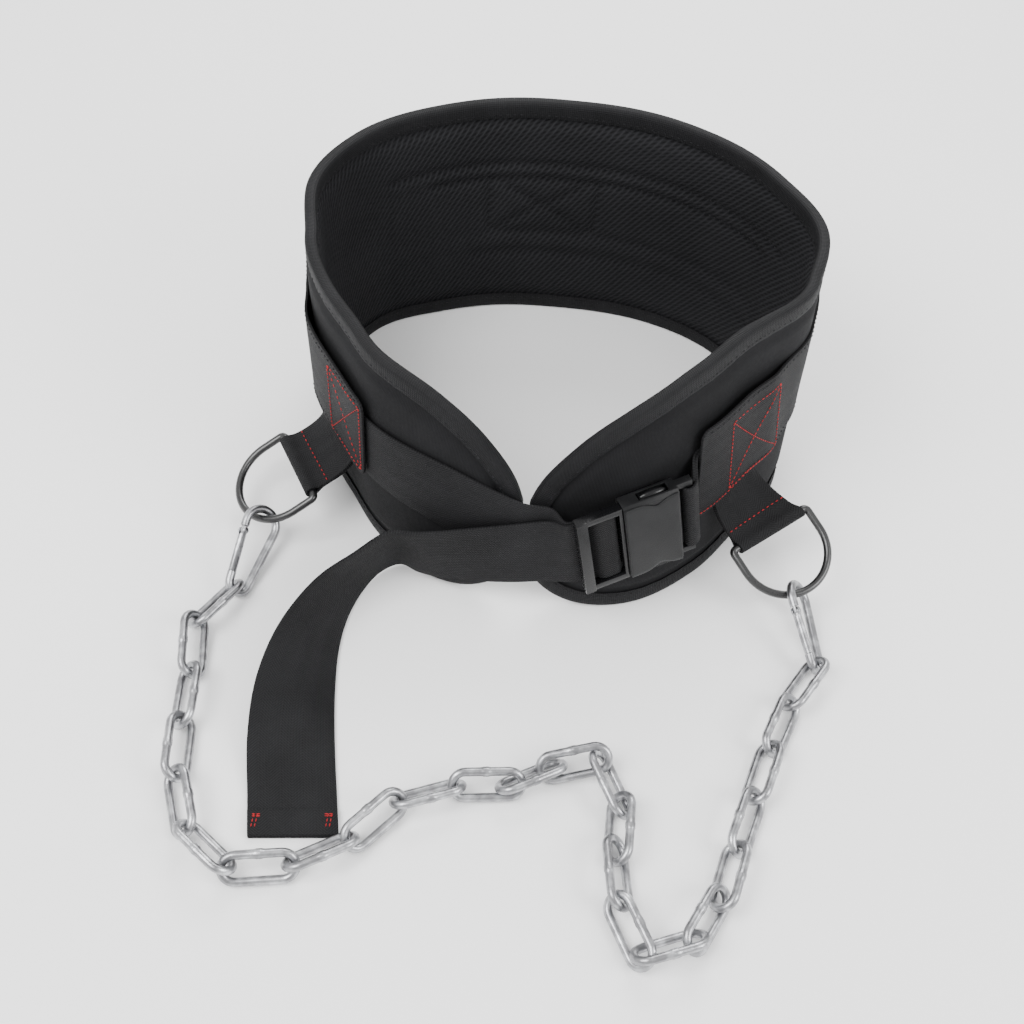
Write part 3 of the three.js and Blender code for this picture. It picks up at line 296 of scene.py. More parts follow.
def webbingWeaveGroup():
    # Ribs across the strip with a zigzag, from the piece's own UV map in metres
    sizes = [("Rib", 0.0016), ("Zigzag", 0.006), ("Slant", 1.0)]
    g, gin, gout = newGroup("webbingWeave", sizes, ["Height", "Thread"])
    uv = g.nodes.new("ShaderNodeTexCoord")
    sep = g.nodes.new("ShaderNodeSeparateXYZ")
    g.links.new(uv.outputs["UV"], sep.inputs[0])
    zig = mathNode(g, "PINGPONG", sep.outputs[1], gin.outputs["Zigzag"])
    lean = mathNode(g, "MULTIPLY", zig, gin.outputs["Slant"])
    u = mathNode(g, "ADD", sep.outputs[0], lean)
    phase = mathNode(g, "MULTIPLY", mathNode(g, "DIVIDE", u, gin.outputs["Rib"]), 2 * math.pi)
    rib = mathNode(g, "MULTIPLY_ADD", mathNode(g, "SINE", phase), 0.5, 0.5)
    phase2 = mathNode(g, "MULTIPLY", mathNode(g, "DIVIDE", sep.outputs[1], gin.outputs["Rib"]), 2 * math.pi)
    cross = mathNode(g, "MULTIPLY_ADD", mathNode(g, "SINE", phase2), 0.25, 0.25)
    g.links.new(mathNode(g, "ADD", mathNode(g, "MULTIPLY", rib, 0.7), cross), gout.inputs["Height"])
    g.links.new(rib, gout.inputs["Thread"])
    return g


def airMeshGroup():
    # Slanting rows of small open cells
    g, gin, gout = newGroup("airMesh", [("Cell", 0.0032), ("Lean", 0.8)], ["Height", "Hole"])
    uv = g.nodes.new("ShaderNodeTexCoord")
    sep = g.nodes.new("ShaderNodeSeparateXYZ")
    g.links.new(uv.outputs["UV"], sep.inputs[0])
    first = mathNode(g, "MULTIPLY_ADD", sep.outputs[1], gin.outputs["Lean"], sep.outputs[0])
    second = mathNode(g, "SUBTRACT", sep.outputs[1], mathNode(g, "MULTIPLY", sep.outputs[0], 0.35))
    p1 = mathNode(g, "MULTIPLY", mathNode(g, "DIVIDE", first, gin.outputs["Cell"]), 2 * math.pi)
    shortSide = mathNode(g, "MULTIPLY", gin.outputs["Cell"], 0.55)
    p2 = mathNode(g, "MULTIPLY", mathNode(g, "DIVIDE", second, shortSide), 2 * math.pi)
    s1 = mathNode(g, "MULTIPLY_ADD", mathNode(g, "SINE", p1), 0.5, 0.5)
    s2 = mathNode(g, "MULTIPLY_ADD", mathNode(g, "SINE", p2), 0.5, 0.5)
    crossed = mathNode(g, "MULTIPLY", s1, mathNode(g, "MULTIPLY_ADD", s2, 0.6, 0.4))
    both = mathNode(g, "POWER", crossed, 0.6)
    g.links.new(both, gout.inputs["Hole"])
    g.links.new(mathNode(g, "SUBTRACT", 1, both), gout.inputs["Height"])
    return g


def wearGroup():
    # Patches of lint, rub and dust from two sizes of noise, on the object's own coordinates
    g, gin, gout = newGroup("wear", [("Patch", 28.0), ("Fine", 420.0), ("Amount", 0.5)], ["Mask", "Grain"])
    tex = g.nodes.new("ShaderNodeTexCoord")
    big = g.nodes.new("ShaderNodeTexNoise")
    small = g.nodes.new("ShaderNodeTexNoise")
    for node, socket, detail in ((big, "Patch", 4), (small, "Fine", 3)):
        g.links.new(tex.outputs["Object"], node.inputs["Vector"])
        g.links.new(gin.outputs[socket], node.inputs["Scale"])
        node.inputs["Detail"].default_value = detail
    lifted = mathNode(g, "SUBTRACT", big.outputs[0], 0.42)
    mask = mathNode(g, "MULTIPLY", mathNode(g, "MULTIPLY", lifted, 3), gin.outputs["Amount"])
    g.links.new(mask, gout.inputs["Mask"])
    g.links.new(small.outputs[0], gout.inputs["Grain"])
    return g


groups = {"weave": webbingWeaveGroup(), "mesh": airMeshGroup(), "wear": wearGroup()}


def finishMaterial(name, dark, light, rough, bump, surface=None, surfaceValues=(), wear=(28, 420, 0.5),
                   metal=0.0, sheen=0.0, specular=0.5, coat=0.0, distance=0.0004):
    mat = bpy.data.materials.new(name)
    mat.use_nodes = True
    tree = mat.node_tree
    shader = tree.nodes["Principled BSDF"]
    shader.inputs["Metallic"].default_value = metal
    shader.inputs["Sheen Weight"].default_value = sheen
    shader.inputs["Sheen Roughness"].default_value = 0.4
    shader.inputs["Specular IOR Level"].default_value = specular
    shader.inputs["Coat Weight"].default_value = coat
    shader.inputs["Coat Roughness"].default_value = 0.25
    worn = tree.nodes.new("ShaderNodeGroup")
    worn.node_tree = groups["wear"]
    for socket, value in zip(("Patch", "Fine", "Amount"), wear):
        worn.inputs[socket].default_value = value
    mixShade = tree.nodes.new("ShaderNodeMix")
    mixShade.data_type = "RGBA"
    mixShade.inputs["A"].default_value = (*dark, 1)
    mixShade.inputs["B"].default_value = (*light, 1)
    height = worn.outputs["Grain"]
    factor = worn.outputs["Mask"]
    if surface:
        cloth = tree.nodes.new("ShaderNodeGroup")
        cloth.node_tree = groups[surface]
        for socket, value in surfaceValues:
            cloth.inputs[socket].default_value = value
        grain = mathNode(tree, "MULTIPLY", worn.outputs["Grain"], 0.35)
        height = mathNode(tree, "ADD", cloth.outputs["Height"], grain)
        second = cloth.outputs["Thread"] if surface == "weave" else cloth.outputs["Height"]
        strong = 1.0 if surface == "mesh" else 0.55
        factor = mathNode(tree, "ADD", mathNode(tree, "MULTIPLY", second, strong),
                          mathNode(tree, "MULTIPLY", worn.outputs["Mask"], 0.6))
    tree.links.new(factor, mixShade.inputs["Factor"])
    tree.links.new(mixShade.outputs["Result"], shader.inputs["Base Color"])
    roughOut = mathNode(tree, "MULTIPLY_ADD", worn.outputs["Grain"], 0.22, rough - 0.11)
    tree.links.new(roughOut, shader.inputs["Roughness"])
    relief = tree.nodes.new("ShaderNodeBump")
    relief.inputs["Strength"].default_value = bump
    relief.inputs["Distance"].default_value = distance
    tree.links.new(height, relief.inputs["Height"])
    tree.links.new(relief.outputs["Normal"], shader.inputs["Normal"])
    return mat


# Each look: dark and light colour, roughness, bump, then weave, patches and gloss
fineWeave = [("Rib", 0.0009), ("Zigzag", 0.0009), ("Slant", 0.2)]
meshWeave = [("Cell", 0.0043), ("Lean", -0.8)]
tapeWeave = [("Rib", 0.0013), ("Zigzag", 0.011), ("Slant", 0.0)]
strapWeave = [("Rib", 0.0017), ("Zigzag", 0.0062), ("Slant", 0.9)]
threadWear = (300, 2500, 0.6)
lookRows = {
    "shellCloth": dict(dark=(0.006, 0.006, 0.0066), light=(0.017, 0.017, 0.0185), rough=0.82, bump=0.45,
                       surface="weave", surfaceValues=fineWeave, wear=(16, 500, 0.6), sheen=0.01, specular=0.12),
    "airMeshCloth": dict(dark=(0.0034, 0.0034, 0.0038), light=(0.0185, 0.0185, 0.0205), rough=0.8, bump=0.8,
                         surface="mesh", surfaceValues=meshWeave, wear=(18, 600, 0.3), specular=0.12,
                         distance=0.0007),
    "bindingTape": dict(dark=(0.004, 0.004, 0.0045), light=(0.014, 0.014, 0.0155), rough=0.62, bump=0.6,
                        surface="weave", surfaceValues=tapeWeave, wear=(40, 500, 0.5), specular=0.17),
    "webbing": dict(dark=(0.004, 0.004, 0.0044), light=(0.017, 0.017, 0.0185), rough=0.7, bump=0.6,
                    surface="weave", surfaceValues=strapWeave, wear=(24, 450, 0.55), sheen=0.01, specular=0.16),
    "redThread": dict(dark=(0.3, 0.01, 0.012), light=(0.58, 0.035, 0.035), rough=0.6, bump=0.4,
                      wear=threadWear, sheen=0.05, specular=0.2),
    "blackThread": dict(dark=(0.006, 0.006, 0.007), light=(0.026, 0.026, 0.028), rough=0.6, bump=0.4,
                        wear=threadWear, specular=0.2),
    "shellPlastic": dict(dark=(0.006, 0.0061, 0.0066), light=(0.017, 0.0171, 0.018), rough=0.4, bump=0.25,
                         wear=(30, 1600, 0.6), specular=0.2),
    "frontPlastic": dict(dark=(0.0035, 0.0035, 0.004), light=(0.012, 0.012, 0.013), rough=0.24, bump=0.12,
                         wear=(45, 1500, 0.5), specular=0.28),
    "blackWire": dict(dark=(0.006, 0.006, 0.0065), light=(0.026, 0.0255, 0.025), rough=0.3, bump=0.15,
                      wear=(60, 1400, 0.5), specular=0.6, coat=0.3),
    "galvanised": dict(dark=(0.27, 0.27, 0.28), light=(0.68, 0.69, 0.71), rough=0.34, bump=0.3,
                       wear=(150, 1500, 0.8), metal=1.0, distance=0.0002),
}
looks = {name: finishMaterial(name, **row) for name, row in lookRows.items()}
print("materials made")

# Padded wall: a closed form, grooved inside along its sewn lines
padSettings = {"perSide": 64, "step": 2.9, "inset": 1.3, "puff": 0.9, "grooveDeep": 2.0, "grooveWide": 2.4,
               "threadOut": -2.85, "ripple": (0.35, 0.15), "fill": 0.9, "crowd": 0.09, "outPuff": 0.15,
               "riseFrom": 12.8, "riseOver": 8, "fadeFrom": 6, "fadeOver": 10, "puffed": (300, 600),
               "crossDeep": 0.9, "crossWide": 1.8, "slantWide": 2.2,
               "channels": [(66, 110), (50, 66), (110, 121), (121, 153), (12, 50)],
               "sewn": [(121, 302, 598), (110, 320, 569), (66, 318, 530), (50, 320, 540)],
               "cross": (452, 528, 68, 111)}


def grooveAt(run, height):
    s = padSettings
    depth = 0
    swell = 0
    for at, start, end in s["sewn"]:
        inside = (smoothStep((run - start + s["fadeFrom"]) / s["fadeOver"])
                  * smoothStep((end + s["fadeFrom"] - run) / s["fadeOver"]))
        depth = max(depth, inside * math.exp(-((height - at) / s["grooveWide"]) ** 2))
    lo, hi, foot, top = s["cross"]
    if lo - 6 < run < hi + 6 and foot - 6 < height < top + 6:
        edge = max(math.exp(-((run - lo) / s["crossWide"]) ** 2), math.exp(-((run - hi) / s["crossWide"]) ** 2))
        k = (run - lo) / (hi - lo)
        slant = min(abs(height - (foot + (top - foot) * k)), abs(height - (top - (top - foot) * k)))
        within = 1 if lo <= run <= hi and foot <= height <= top else 0
        upright = edge * (foot <= height <= top)
        diagonal = math.exp(-(slant / s["slantWide"]) ** 2)
        depth = max(depth, s["crossDeep"] * upright, s["crossDeep"] * within * diagonal)
    if s["puffed"][0] < run < s["puffed"][1]:
        for low, high in s["channels"]:
            if low < height < high:
                swell = math.sin((height - low) / (high - low) * math.pi) ** 0.7
    return depth, swell


def makePadWall():
    s = padSettings
    alongs = [1.3, 1.8, 2.6, 3.8, 5.2, 7, 9.2, 12, 15, 18.5, 22.5]
    runs = [firstRun + a for a in alongs]
    count = int((lastRun - firstRun - 45) / s["step"])
    runs += [firstRun + 22.5 + (lastRun - firstRun - 45) * k / count for k in range(1, count)]
    runs += [lastRun - a for a in reversed(alongs)]
    rows = []
    for run in runs:
        along, foot, top = endsAt(run)
        _, foot2, top2 = endsAt(run + 1)
        slantTop = 1 / math.hypot(1, top2 - top)
        slantFoot = 1 / math.hypot(1, foot2 - foot)
        low, high = foot + s["inset"], top - s["inset"]
        outer, inner = [], []
        for j in range(s["perSide"] + 1):
            v = j / s["perSide"]
            v = v - s["crowd"] * math.sin(2 * math.pi * v)
            height = low + (high - low) * v
            near = min(along, (top - height) * slantTop, (height - foot) * slantFoot)
            rise = smoothStep((near - s["riseFrom"]) / s["riseOver"])
            half = wall["rimHalf"] + (wall["padHalf"] - wall["rimHalf"]) * rise
            spot = Vector((run / 55, height / 40, 0))
            ripple = (s["ripple"][0] * rise * noise.noise(spot)
                      + s["ripple"][1] * rise * noise.noise(spot * 3.1))
            deep, swell = grooveAt(run, height)
            outer.append(wallAt(run, height, half + ripple + s["outPuff"] * rise))
            sunk = s["grooveDeep"] * deep - s["puff"] * swell * (1 - deep)
            inner.append(wallAt(run, height, -half + rise * sunk + ripple))
        edgeFoot = wallAt(run, low, 0)
        rows.append([edgeFoot] + outer + inner[::-1] + [edgeFoot])
    obj = gridPiece("padWall", rows, closeAcross=True, fillEnds=True)
    finish(obj, [looks["shellCloth"], looks["airMeshCloth"]], nodes=["belt_pad"])
    # The inner face shows the air mesh, the outer one the smooth cloth
    for poly in obj.data.polygons:
        away = Vector((poly.center.x, poly.center.y + wall["deep"] / 2 * mm, 0))
        poly.material_index = 1 if poly.normal.dot(away) < 0 else 0


makePadWall()
print("padded wall made")


# Binding: tape folded over the whole edge
def outlineRing(step=4.0):
    ups = [0, 0.9, 2, 3.5, 5.5, 8, 11, 14, 18]
    runs = [firstRun + a for a in ups]
    count = int((lastRun - firstRun - 44) / step)
    runs += [firstRun + 22 + (lastRun - firstRun - 44) * k / count for k in range(count + 1)]
    runs += [lastRun - a for a in reversed(ups)]
    upper = [(r, endsAt(r)[2]) for r in runs]
    lower = [(r, endsAt(r)[1]) for r in reversed(runs)]
    sides = []
    for a, b in ((upper[-1], lower[0]), (lower[-1], upper[0])):
        sides.append([(a[0], a[1] + (b[1] - a[1]) * k / 8) for k in range(1, 8)])
    return upper + sides[0] + lower + sides[1]


bindingSettings = {"section": [(11, -3.25), (10.2, -3.5), (7, -3.6), (3.5, -3.6), (1.2, -3.3), (0.25, -2.3),
                               (0, -1), (0, 1), (0.25, 2.3), (1.2, 3.3), (3.5, 3.6), (7, 3.6), (10.2, 3.5),
                               (11, 3.25)],
                   "thick": 0.8, "steep": 0.55, "tuck": 0.12}


def makeBinding():
    ring = outlineRing()
    n = len(ring)
    rows = []
    for i, p in enumerate(ring):
        a, b = ring[i - 1], ring[(i + 1) % n]
        into = Vector((p[0] - a[0], p[1] - a[1])).normalized()
        away = Vector((b[0] - p[0], b[1] - p[1])).normalized()
        side = Vector((into.y + away.y, -into.x - away.x)).normalized()
        half = max(0.6, abs(side.x * away.y - side.y * away.x))
        cells = []
        for inset, out in bindingSettings["section"]:
            if abs(side.y) > bindingSettings["steep"]:
                run, height = p[0], p[1] + inset / side.y
            else:
                run, height = p[0] + side.x * inset / half, p[1] + side.y * inset / half
            tuck = bindingSettings["tuck"] * math.sin(i * 1.9) * (1 if inset > 6 else 0)
            cells.append(wallAt(run, height, out + tuck))
        rows.append(cells)
    rows.append(rows[0])
    obj = gridPiece("edgeTape", rows, closeAlong=True)
    solid = obj.modifiers.new("thickness", "SOLIDIFY")
    solid.thickness = bindingSettings["thick"] * mm
    solid.offset = 0
    applyAll(obj)
    activate(obj)
    bpy.ops.object.shade_smooth_by_angle(angle=50 * deg)
    finish(obj, looks["bindingTape"], nodes=["edge_binding"])


makeBinding()
print("binding made")

# Webbing band sewn round the outside
bandSettings = {"middle": 95, "width": 66, "thick": 1.7, "corner": 7, "from": 101.319, "to": 822.839,
                "holdRight": 69.2, "holdLeft": 68.1, "lift": 4.4, "easeFrom": 8, "easeOver": 30,
                "endDrop": 3, "endRun": 60, "seat": 0.1, "steps": 190, "wave": 0.18}


def bandOut(run):
    s = bandSettings
    fromLeft, fromRight = run - s["from"], s["to"] - run
    lift = max(1 - smoothStep((fromLeft - s["holdRight"] - s["easeFrom"]) / s["easeOver"]),
               1 - smoothStep((fromRight - s["holdLeft"] - s["easeFrom"]) / s["easeOver"]))
    return wall["padOut"] + lift * s["lift"] + s["thick"] / 2 + s["seat"]


def bandMiddle(run):
    s = bandSettings
    end = min(run - s["from"], s["to"] - run)
    return s["middle"] - s["endDrop"] * (1 - smoothStep(end / s["endRun"]))


def makeBand():
    s = bandSettings
    count = s["steps"]
    runs = [s["from"] + k * 0.9 for k in range(9)]
    runs += [s["from"] + 8 + (s["to"] - s["from"] - 16) * k / count for k in range(1, count)]
    runs += [s["to"] - k * 0.9 for k in reversed(range(9))]
    rows = []
    for run in runs:
        end = min(run - s["from"], s["to"] - run)
        cut = s["corner"] - math.sqrt(max(0, s["corner"] ** 2 - max(0, s["corner"] - end) ** 2))
        half = s["width"] / 2 - cut
        cells = []
        for j in range(15):
            height = bandMiddle(run) + half * (2 * j / 14 - 1)
            wave = s["wave"] * noise.noise(Vector((run / 30, height / 22, 3)))
            cells.append(wallAt(run, height, bandOut(run) + wave))
        rows.append(cells)
    obj = thicken(gridPiece("sewnBand", rows), s["thick"])
    finish(obj, looks["webbing"], nodes=["outer_band"])


makeBand()
print("band made")

# Buckle frame: X along the strap, Y out of the wall, Z up
buckleFrame = {"centre": (55.43, -269.267, 71), "along": (0.8915, 0.4252, 0.1564),
               "out": (0.4066, -0.9032, 0.1375),
               "tall": (-0.1997, 0.0589, 0.9781), "end": 37, "foldFrom": -23, "foldTo": -15, "turn": 2.72,
               "eyeX": 35, "eyeTurn": 3.85}


def buckleAt(x, y, z):
    s = buckleFrame
    return Vector(s["centre"]) + Vector(s["along"]) * x + Vector(s["out"]) * y + Vector(s["tall"]) * z


# Main strap: rear layer, fold round the bar, front layer and the free end
strapSettings = {"width": 50, "thick": 1.6, "hemThick": 1.5, "hemRise": 1.75,
                 "rear": [(-132, 84, 6.7), (-92, 84.5, 6.7), (-64, 81.5, 6.8), (-38, 73, 7), (-12, 63.5, 8),
                          (4, 63, 9.2)],
                 "rearRuns": (-131.8, -121.4, -108, -92, -76, -61, -46, -27, -12.6, 4),
                 "front": [(-88, 4, 9.1, 17), (-68, 9.5, 9.2, 10), (-40, 18.5, 9.5, 4), (-12, 26, 10.6, 0.5),
                           (4, 31, 12, 0)],
                 "frontRuns": (4, -12.6, -26.6, -45.6, -60.6, -74, -88),
                 "tail": [(-13, -7, -1.8, -13, -20, 44), (-22, -22, -2.9, -20, -19, 42),
                          (-28, -42, -2.9, -26, -17, 39), (-30, -65, -2.9, -34, -15, 33),
                          (-28, -93, -2.9, -42, -12, 22), (-23, -126, -2.9, -48, -8, 9),
                          (-16, -162, -2.9, -49.5, -5, 0.5), (-11, -187, -2.9, -49.5, -5, 0)]}


def edgePair(low, toward):
    return low, low + (toward - low).normalized() * strapSettings["width"]


def makeMainStrap():
    s = strapSettings
    half = s["width"] / 2
    pairs = []
    for run in s["rearRuns"]:
        height, out = readRows(s["rear"], 1, run), readRows(s["rear"], 2, run)
        pairs.append(edgePair(wallAt(run, height - half, out), wallAt(run, height + half, out)))
    b = buckleFrame
    fold = [(-b["end"] - 2, -4.9), (-28, -4.8), (-21, -b["turn"]), (b["foldTo"], -b["turn"])]
    for w in (-60, -30, 0, 30, 60):
        fold.append((b["foldTo"] + b["turn"] * 1.02 * math.cos(w * deg), b["turn"] * 1.02 * math.sin(w * deg)))
    fold += [(b["foldTo"], b["turn"]), (b["foldFrom"], b["turn"]), (-25.4, 1.6), (-28.6, -1.9)]
    fold += [(-b["end"] + 5, -2.4), (-b["end"] - 2, -2.5)]
    pairs += [(buckleAt(x, y, -half), buckleAt(x, y, half)) for x, y in fold]
    for run in s["frontRuns"]:
        height, out, tip = (readRows(s["front"], k, run) for k in (1, 2, 3))
        pairs.append(edgePair(wallAt(run, height, out), wallAt(run, height + s["width"], out + tip)))
    leave = pairs[-1][0].copy()
    for x, y, z, leanX, leanY, rise in s["tail"]:
        low = leave + Vector((x, y, z))
        pairs.append(edgePair(low, low + Vector((leanX, leanY, rise))))
    obj = webbingPiece("mainStrap", pairs, s["thick"], 3.0)
    low, high = pairs[-1]
    back = (pairs[-2][0] - low).normalized()
    rise = Vector((0, 0, s["hemRise"]))
    hem = [(low + back * d + rise, high + back * d + rise) for d in (0.6, 4, 8, 12, 16)]
    hemPiece = webbingPiece("strapHem", hem, s["hemThick"], 2.0)
    finish(obj, looks["webbing"], nodes=["main_strap"])
    finish(hemPiece, looks["webbing"])
    return pairs


strapPairs = makeMainStrap()
print("strap made")


def loopRibbon(name, columns, thick, node):
    # Each column is one path down the doubled strip, round its eye and back; they are joined across
    lines = [smoothLine([list(p) for p in column], 1.6) for column in columns]
    count = min(len(line) for line in lines)
    even = []
    for line in lines:
        a = np.array(line)
        s = np.concatenate([[0], np.cumsum(np.linalg.norm(np.diff(a, axis=0), axis=1))])
        even.append(np.stack([np.interp(np.linspace(0, s[-1], count), s, a[:, k]) for k in range(3)], 1))
    rows = [[Vector(e[i]) for e in even] for i in range(count)]
    obj = thicken(gridPiece(name, rows), thick, 0.3)
    finish(obj, looks["webbing"], nodes=[node])


# Side rings and their webbing loops
ringSettings = {"radius": 28.5, "corner": 3, "reach": 44.5, "wire": 2.5,
                "left": {"middle": (-157.536, -212.123, 36), "bar": (0.5, -0.866, 0),
                         "reach": (-0.7815, -0.4512, -0.4309), "run": -165.567},
                "right": {"middle": (143.947, -230.043, 38), "bar": (0.8026, 0.5618, 0.2006),
                          "reach": (0.5946, -0.7263, -0.3448), "run": 146.503}}


def wirePiece(name, path, radius, closed, nodes, look, sides=4, swell=None):
    # Round wire along a path, in millimetres; swell holds the points where it is thicker
    curve = bpy.data.curves.new(name, "CURVE")
    curve.dimensions = "3D"
    curve.bevel_depth = radius * mm
    curve.bevel_resolution = sides
    curve.use_fill_caps = True
    spline = curve.splines.new("POLY")
    spline.points.add(len(path) - 1)
    for point, p in zip(spline.points, path):
        point.co = (p[0] * mm, p[1] * mm, p[2] * mm, 1)
    for k, value in (swell or {}).items():
        spline.points[k].radius = value
    spline.use_cyclic_u = closed
    obj = bpy.data.objects.new(name, curve)
    bpy.context.scene.collection.objects.link(obj)
    activate(obj)
    bpy.ops.object.convert(target="MESH")
    obj = bpy.context.active_object
    bpy.ops.object.mode_set(mode="EDIT")
    bpy.ops.mesh.select_all(action="SELECT")
    bpy.ops.mesh.remove_doubles(threshold=0.00001)
    bpy.ops.mesh.normals_make_consistent(inside=False)
    bpy.ops.object.mode_set(mode="OBJECT")
    bpy.ops.object.shade_smooth_by_angle(angle=50 * deg)
    if look:
        finish(obj, looks[look], nodes=nodes)
    return obj


def makeRing(side):
    s = ringSettings
    f = s[side]
    middle, bar, reach = Vector(f["middle"]), Vector(f["bar"]).normalized(), Vector(f["reach"]).normalized()
    flat = []
    for sign in (-1, 1):
        corner = [(sign * (s["radius"] - s["corner"] + s["corner"] * math.sin(k / 5 * math.pi / 2)),
                   s["corner"] - s["corner"] * math.cos(k / 5 * math.pi / 2)) for k in range(6)]
        flat += corner[::-1] if sign < 0 else corner
    bow = s["reach"] - s["radius"]
    for k in range(41):
        w = k / 40 * math.pi
        flat.append((s["radius"] * math.cos(w), bow + s["radius"] * math.sin(w)))
    wirePiece(f"sideRing.{side}", [middle + bar * x + reach * y for x, y in flat], s["wire"], True,
              [f"d_ring_{side}"], "blackWire", sides=5)


loopSettings = {"half": 24, "under": 1.8, "rootTop": 115, "rootFoot": 58.5, "kneeDrop": 12, "kneeOut": 1.5,
                "eyeStop": 7, "eyeTurn": 3.75, "apart": 0.92, "thick": 1.55}


def makeRingLoop(side):
    s = loopSettings
    f = ringSettings[side]
    middle, bar = Vector(f["middle"]), Vector(f["bar"]).normalized()
    layer = wall["padOut"] + s["under"]
    rootTop, rootFoot = s["rootTop"], s["rootFoot"]
    face = (wallAt(f["run"] + 4, rootFoot, layer) - wallAt(f["run"] - 4, rootFoot, layer)).normalized()
    flip = 1 if face.dot(bar) > 0 else -1
    columns = []
    for k in [v / 3 for v in range(-3, 4)]:
        run = f["run"] + k * s["half"]
        eye = middle + bar * flip * k * s["half"]
        top, foot = wallAt(run, rootTop, layer), wallAt(run, rootFoot, layer)
        knee = wallAt(run, rootFoot - s["kneeDrop"], layer + s["kneeOut"])
        stop = eye - (eye - knee).normalized() * s["eyeStop"]
        path = [top, top.lerp(foot, 0.5), foot]
        for t in (0.3, 0.62, 1):
            path.append(foot.lerp(knee, t).lerp(knee.lerp(stop, t), t))
        wide = face.lerp(bar * flip, 0.5).normalized()
        outs = []
        for i in range(len(path)):
            tangent = (path[min(i + 1, len(path) - 1)] - path[max(0, i - 1)]).normalized()
            outs.append(wide.cross(tangent).normalized())
        wallOut = (wallAt(run, rootFoot, 10) - wallAt(run, rootFoot, 0)).normalized()
        if outs[0].dot(wallOut) < 0:
            outs = [-o for o in outs]
        outs[0], outs[1], outs[2] = wallOut, wallOut, wallOut.lerp(outs[2], 0.4).normalized()
        along, outward = (path[-1] - path[-2]).normalized(), outs[-1]
        front = [p + o * s["apart"] for p, o in zip(path, outs)]
        rear = [p - o * s["apart"] for p, o in zip(path, outs)]
        bend = [eye + along * math.cos(w * deg) * s["eyeTurn"] - outward * math.sin(w * deg) * s["eyeTurn"]
                for w in (-95, -60, -30, 0, 30, 60, 95)]
        columns.append(front + bend + rear[::-1])
    loopRibbon(f"ringLoop.{side}", columns, s["thick"], f"ring_loop_{side}")
    return columns


loopColumns = {}
for side in ("left", "right"):
    makeRing(side)
    loopColumns[side] = makeRingLoop(side)
print("rings made")


# Short strap: from under the band, round the eye of the buckle's other half and back
shortSettings = {"half": 25, "roots": [(15, 84), (-0.5, 81.5)], "out": 6.7, "reach": 5.2, "apart": 0.92,
                 "thick": 1.55}


def makeShortStrap():
    s = shortSettings
    b = buckleFrame
    columns = []
    for k in [v / 3 for v in range(-3, 4)]:
        z = k * s["half"]
        path = [wallAt(bandSettings["from"] + along, height + z, s["out"]) for along, height in s["roots"]]
        path.append(buckleAt(b["eyeX"] + s["reach"], -1, z))
        outs = []
        for i in range(3):
            tangent = (path[min(i + 1, 2)] - path[max(0, i - 1)]).normalized()
            out = tangent.cross(Vector(b["tall"])).normalized()
            outs.append(out if out.dot(Vector(b["out"])) > 0 else -out)
        front = [p + o * s["apart"] for p, o in zip(path, outs)]
        rear = [p - o * s["apart"] for p, o in zip(path, outs)]
        bend = [buckleAt(b["eyeX"] + b["eyeTurn"] * math.cos(w * deg), b["eyeTurn"] * math.sin(w * deg), z)
                for w in (75, 110, 145, 180, 215, 250, 285)]
        columns.append(front + bend + rear[::-1])
    loopRibbon("shortStrap", columns, s["thick"], "short_strap")


makeShortStrap()


# Pieces that keep the frame's own shape, as merged copies with softened edges
def softenedCopy(name, node, look, body="belt", edge=0.4):
    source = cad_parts[node]
    obj = bpy.data.objects.new(name, source.data.copy())
    bpy.context.scene.collection.objects.link(obj)
    activate(obj)
    bpy.ops.object.mode_set(mode="EDIT")
    bpy.ops.mesh.select_all(action="SELECT")
    bpy.ops.mesh.remove_doubles(threshold=0.00001)
    bpy.ops.mesh.dissolve_limited(angle_limit=1.5 * deg)
    bpy.ops.mesh.normals_make_consistent(inside=False)
    bpy.ops.object.mode_set(mode="OBJECT")
    if edge:
        bevel = obj.modifiers.new("softEdge", "BEVEL")
        bevel.width = edge * mm
        bevel.segments = 3
        bevel.limit_method = "ANGLE"
        bevel.angle_limit = 35 * deg
        applyAll(obj)
    activate(obj)
    bpy.ops.object.shade_smooth_by_angle(angle=50 * deg)
    finish(obj, looks[look], body=body, nodes=[node])


softenedCopy("buckleShell", "buckle_female", "shellPlastic", edge=0.9)
softenedCopy("buckleFront", "buckle_male", "frontPlastic", edge=0.6)


# Domed face of the buckle, cut back round the two side tabs, and the tabs
faceSettings = {"from": -7.4, "to": 26.4, "half": 29.7, "out": 6.75, "crown": 1.1, "thick": 0.9,
                "notch": 4.4, "notchAt": 12.4, "notchWide": 6.2, "tab": (9.0, 3.0, 3.5), "tabAt": 28.3}


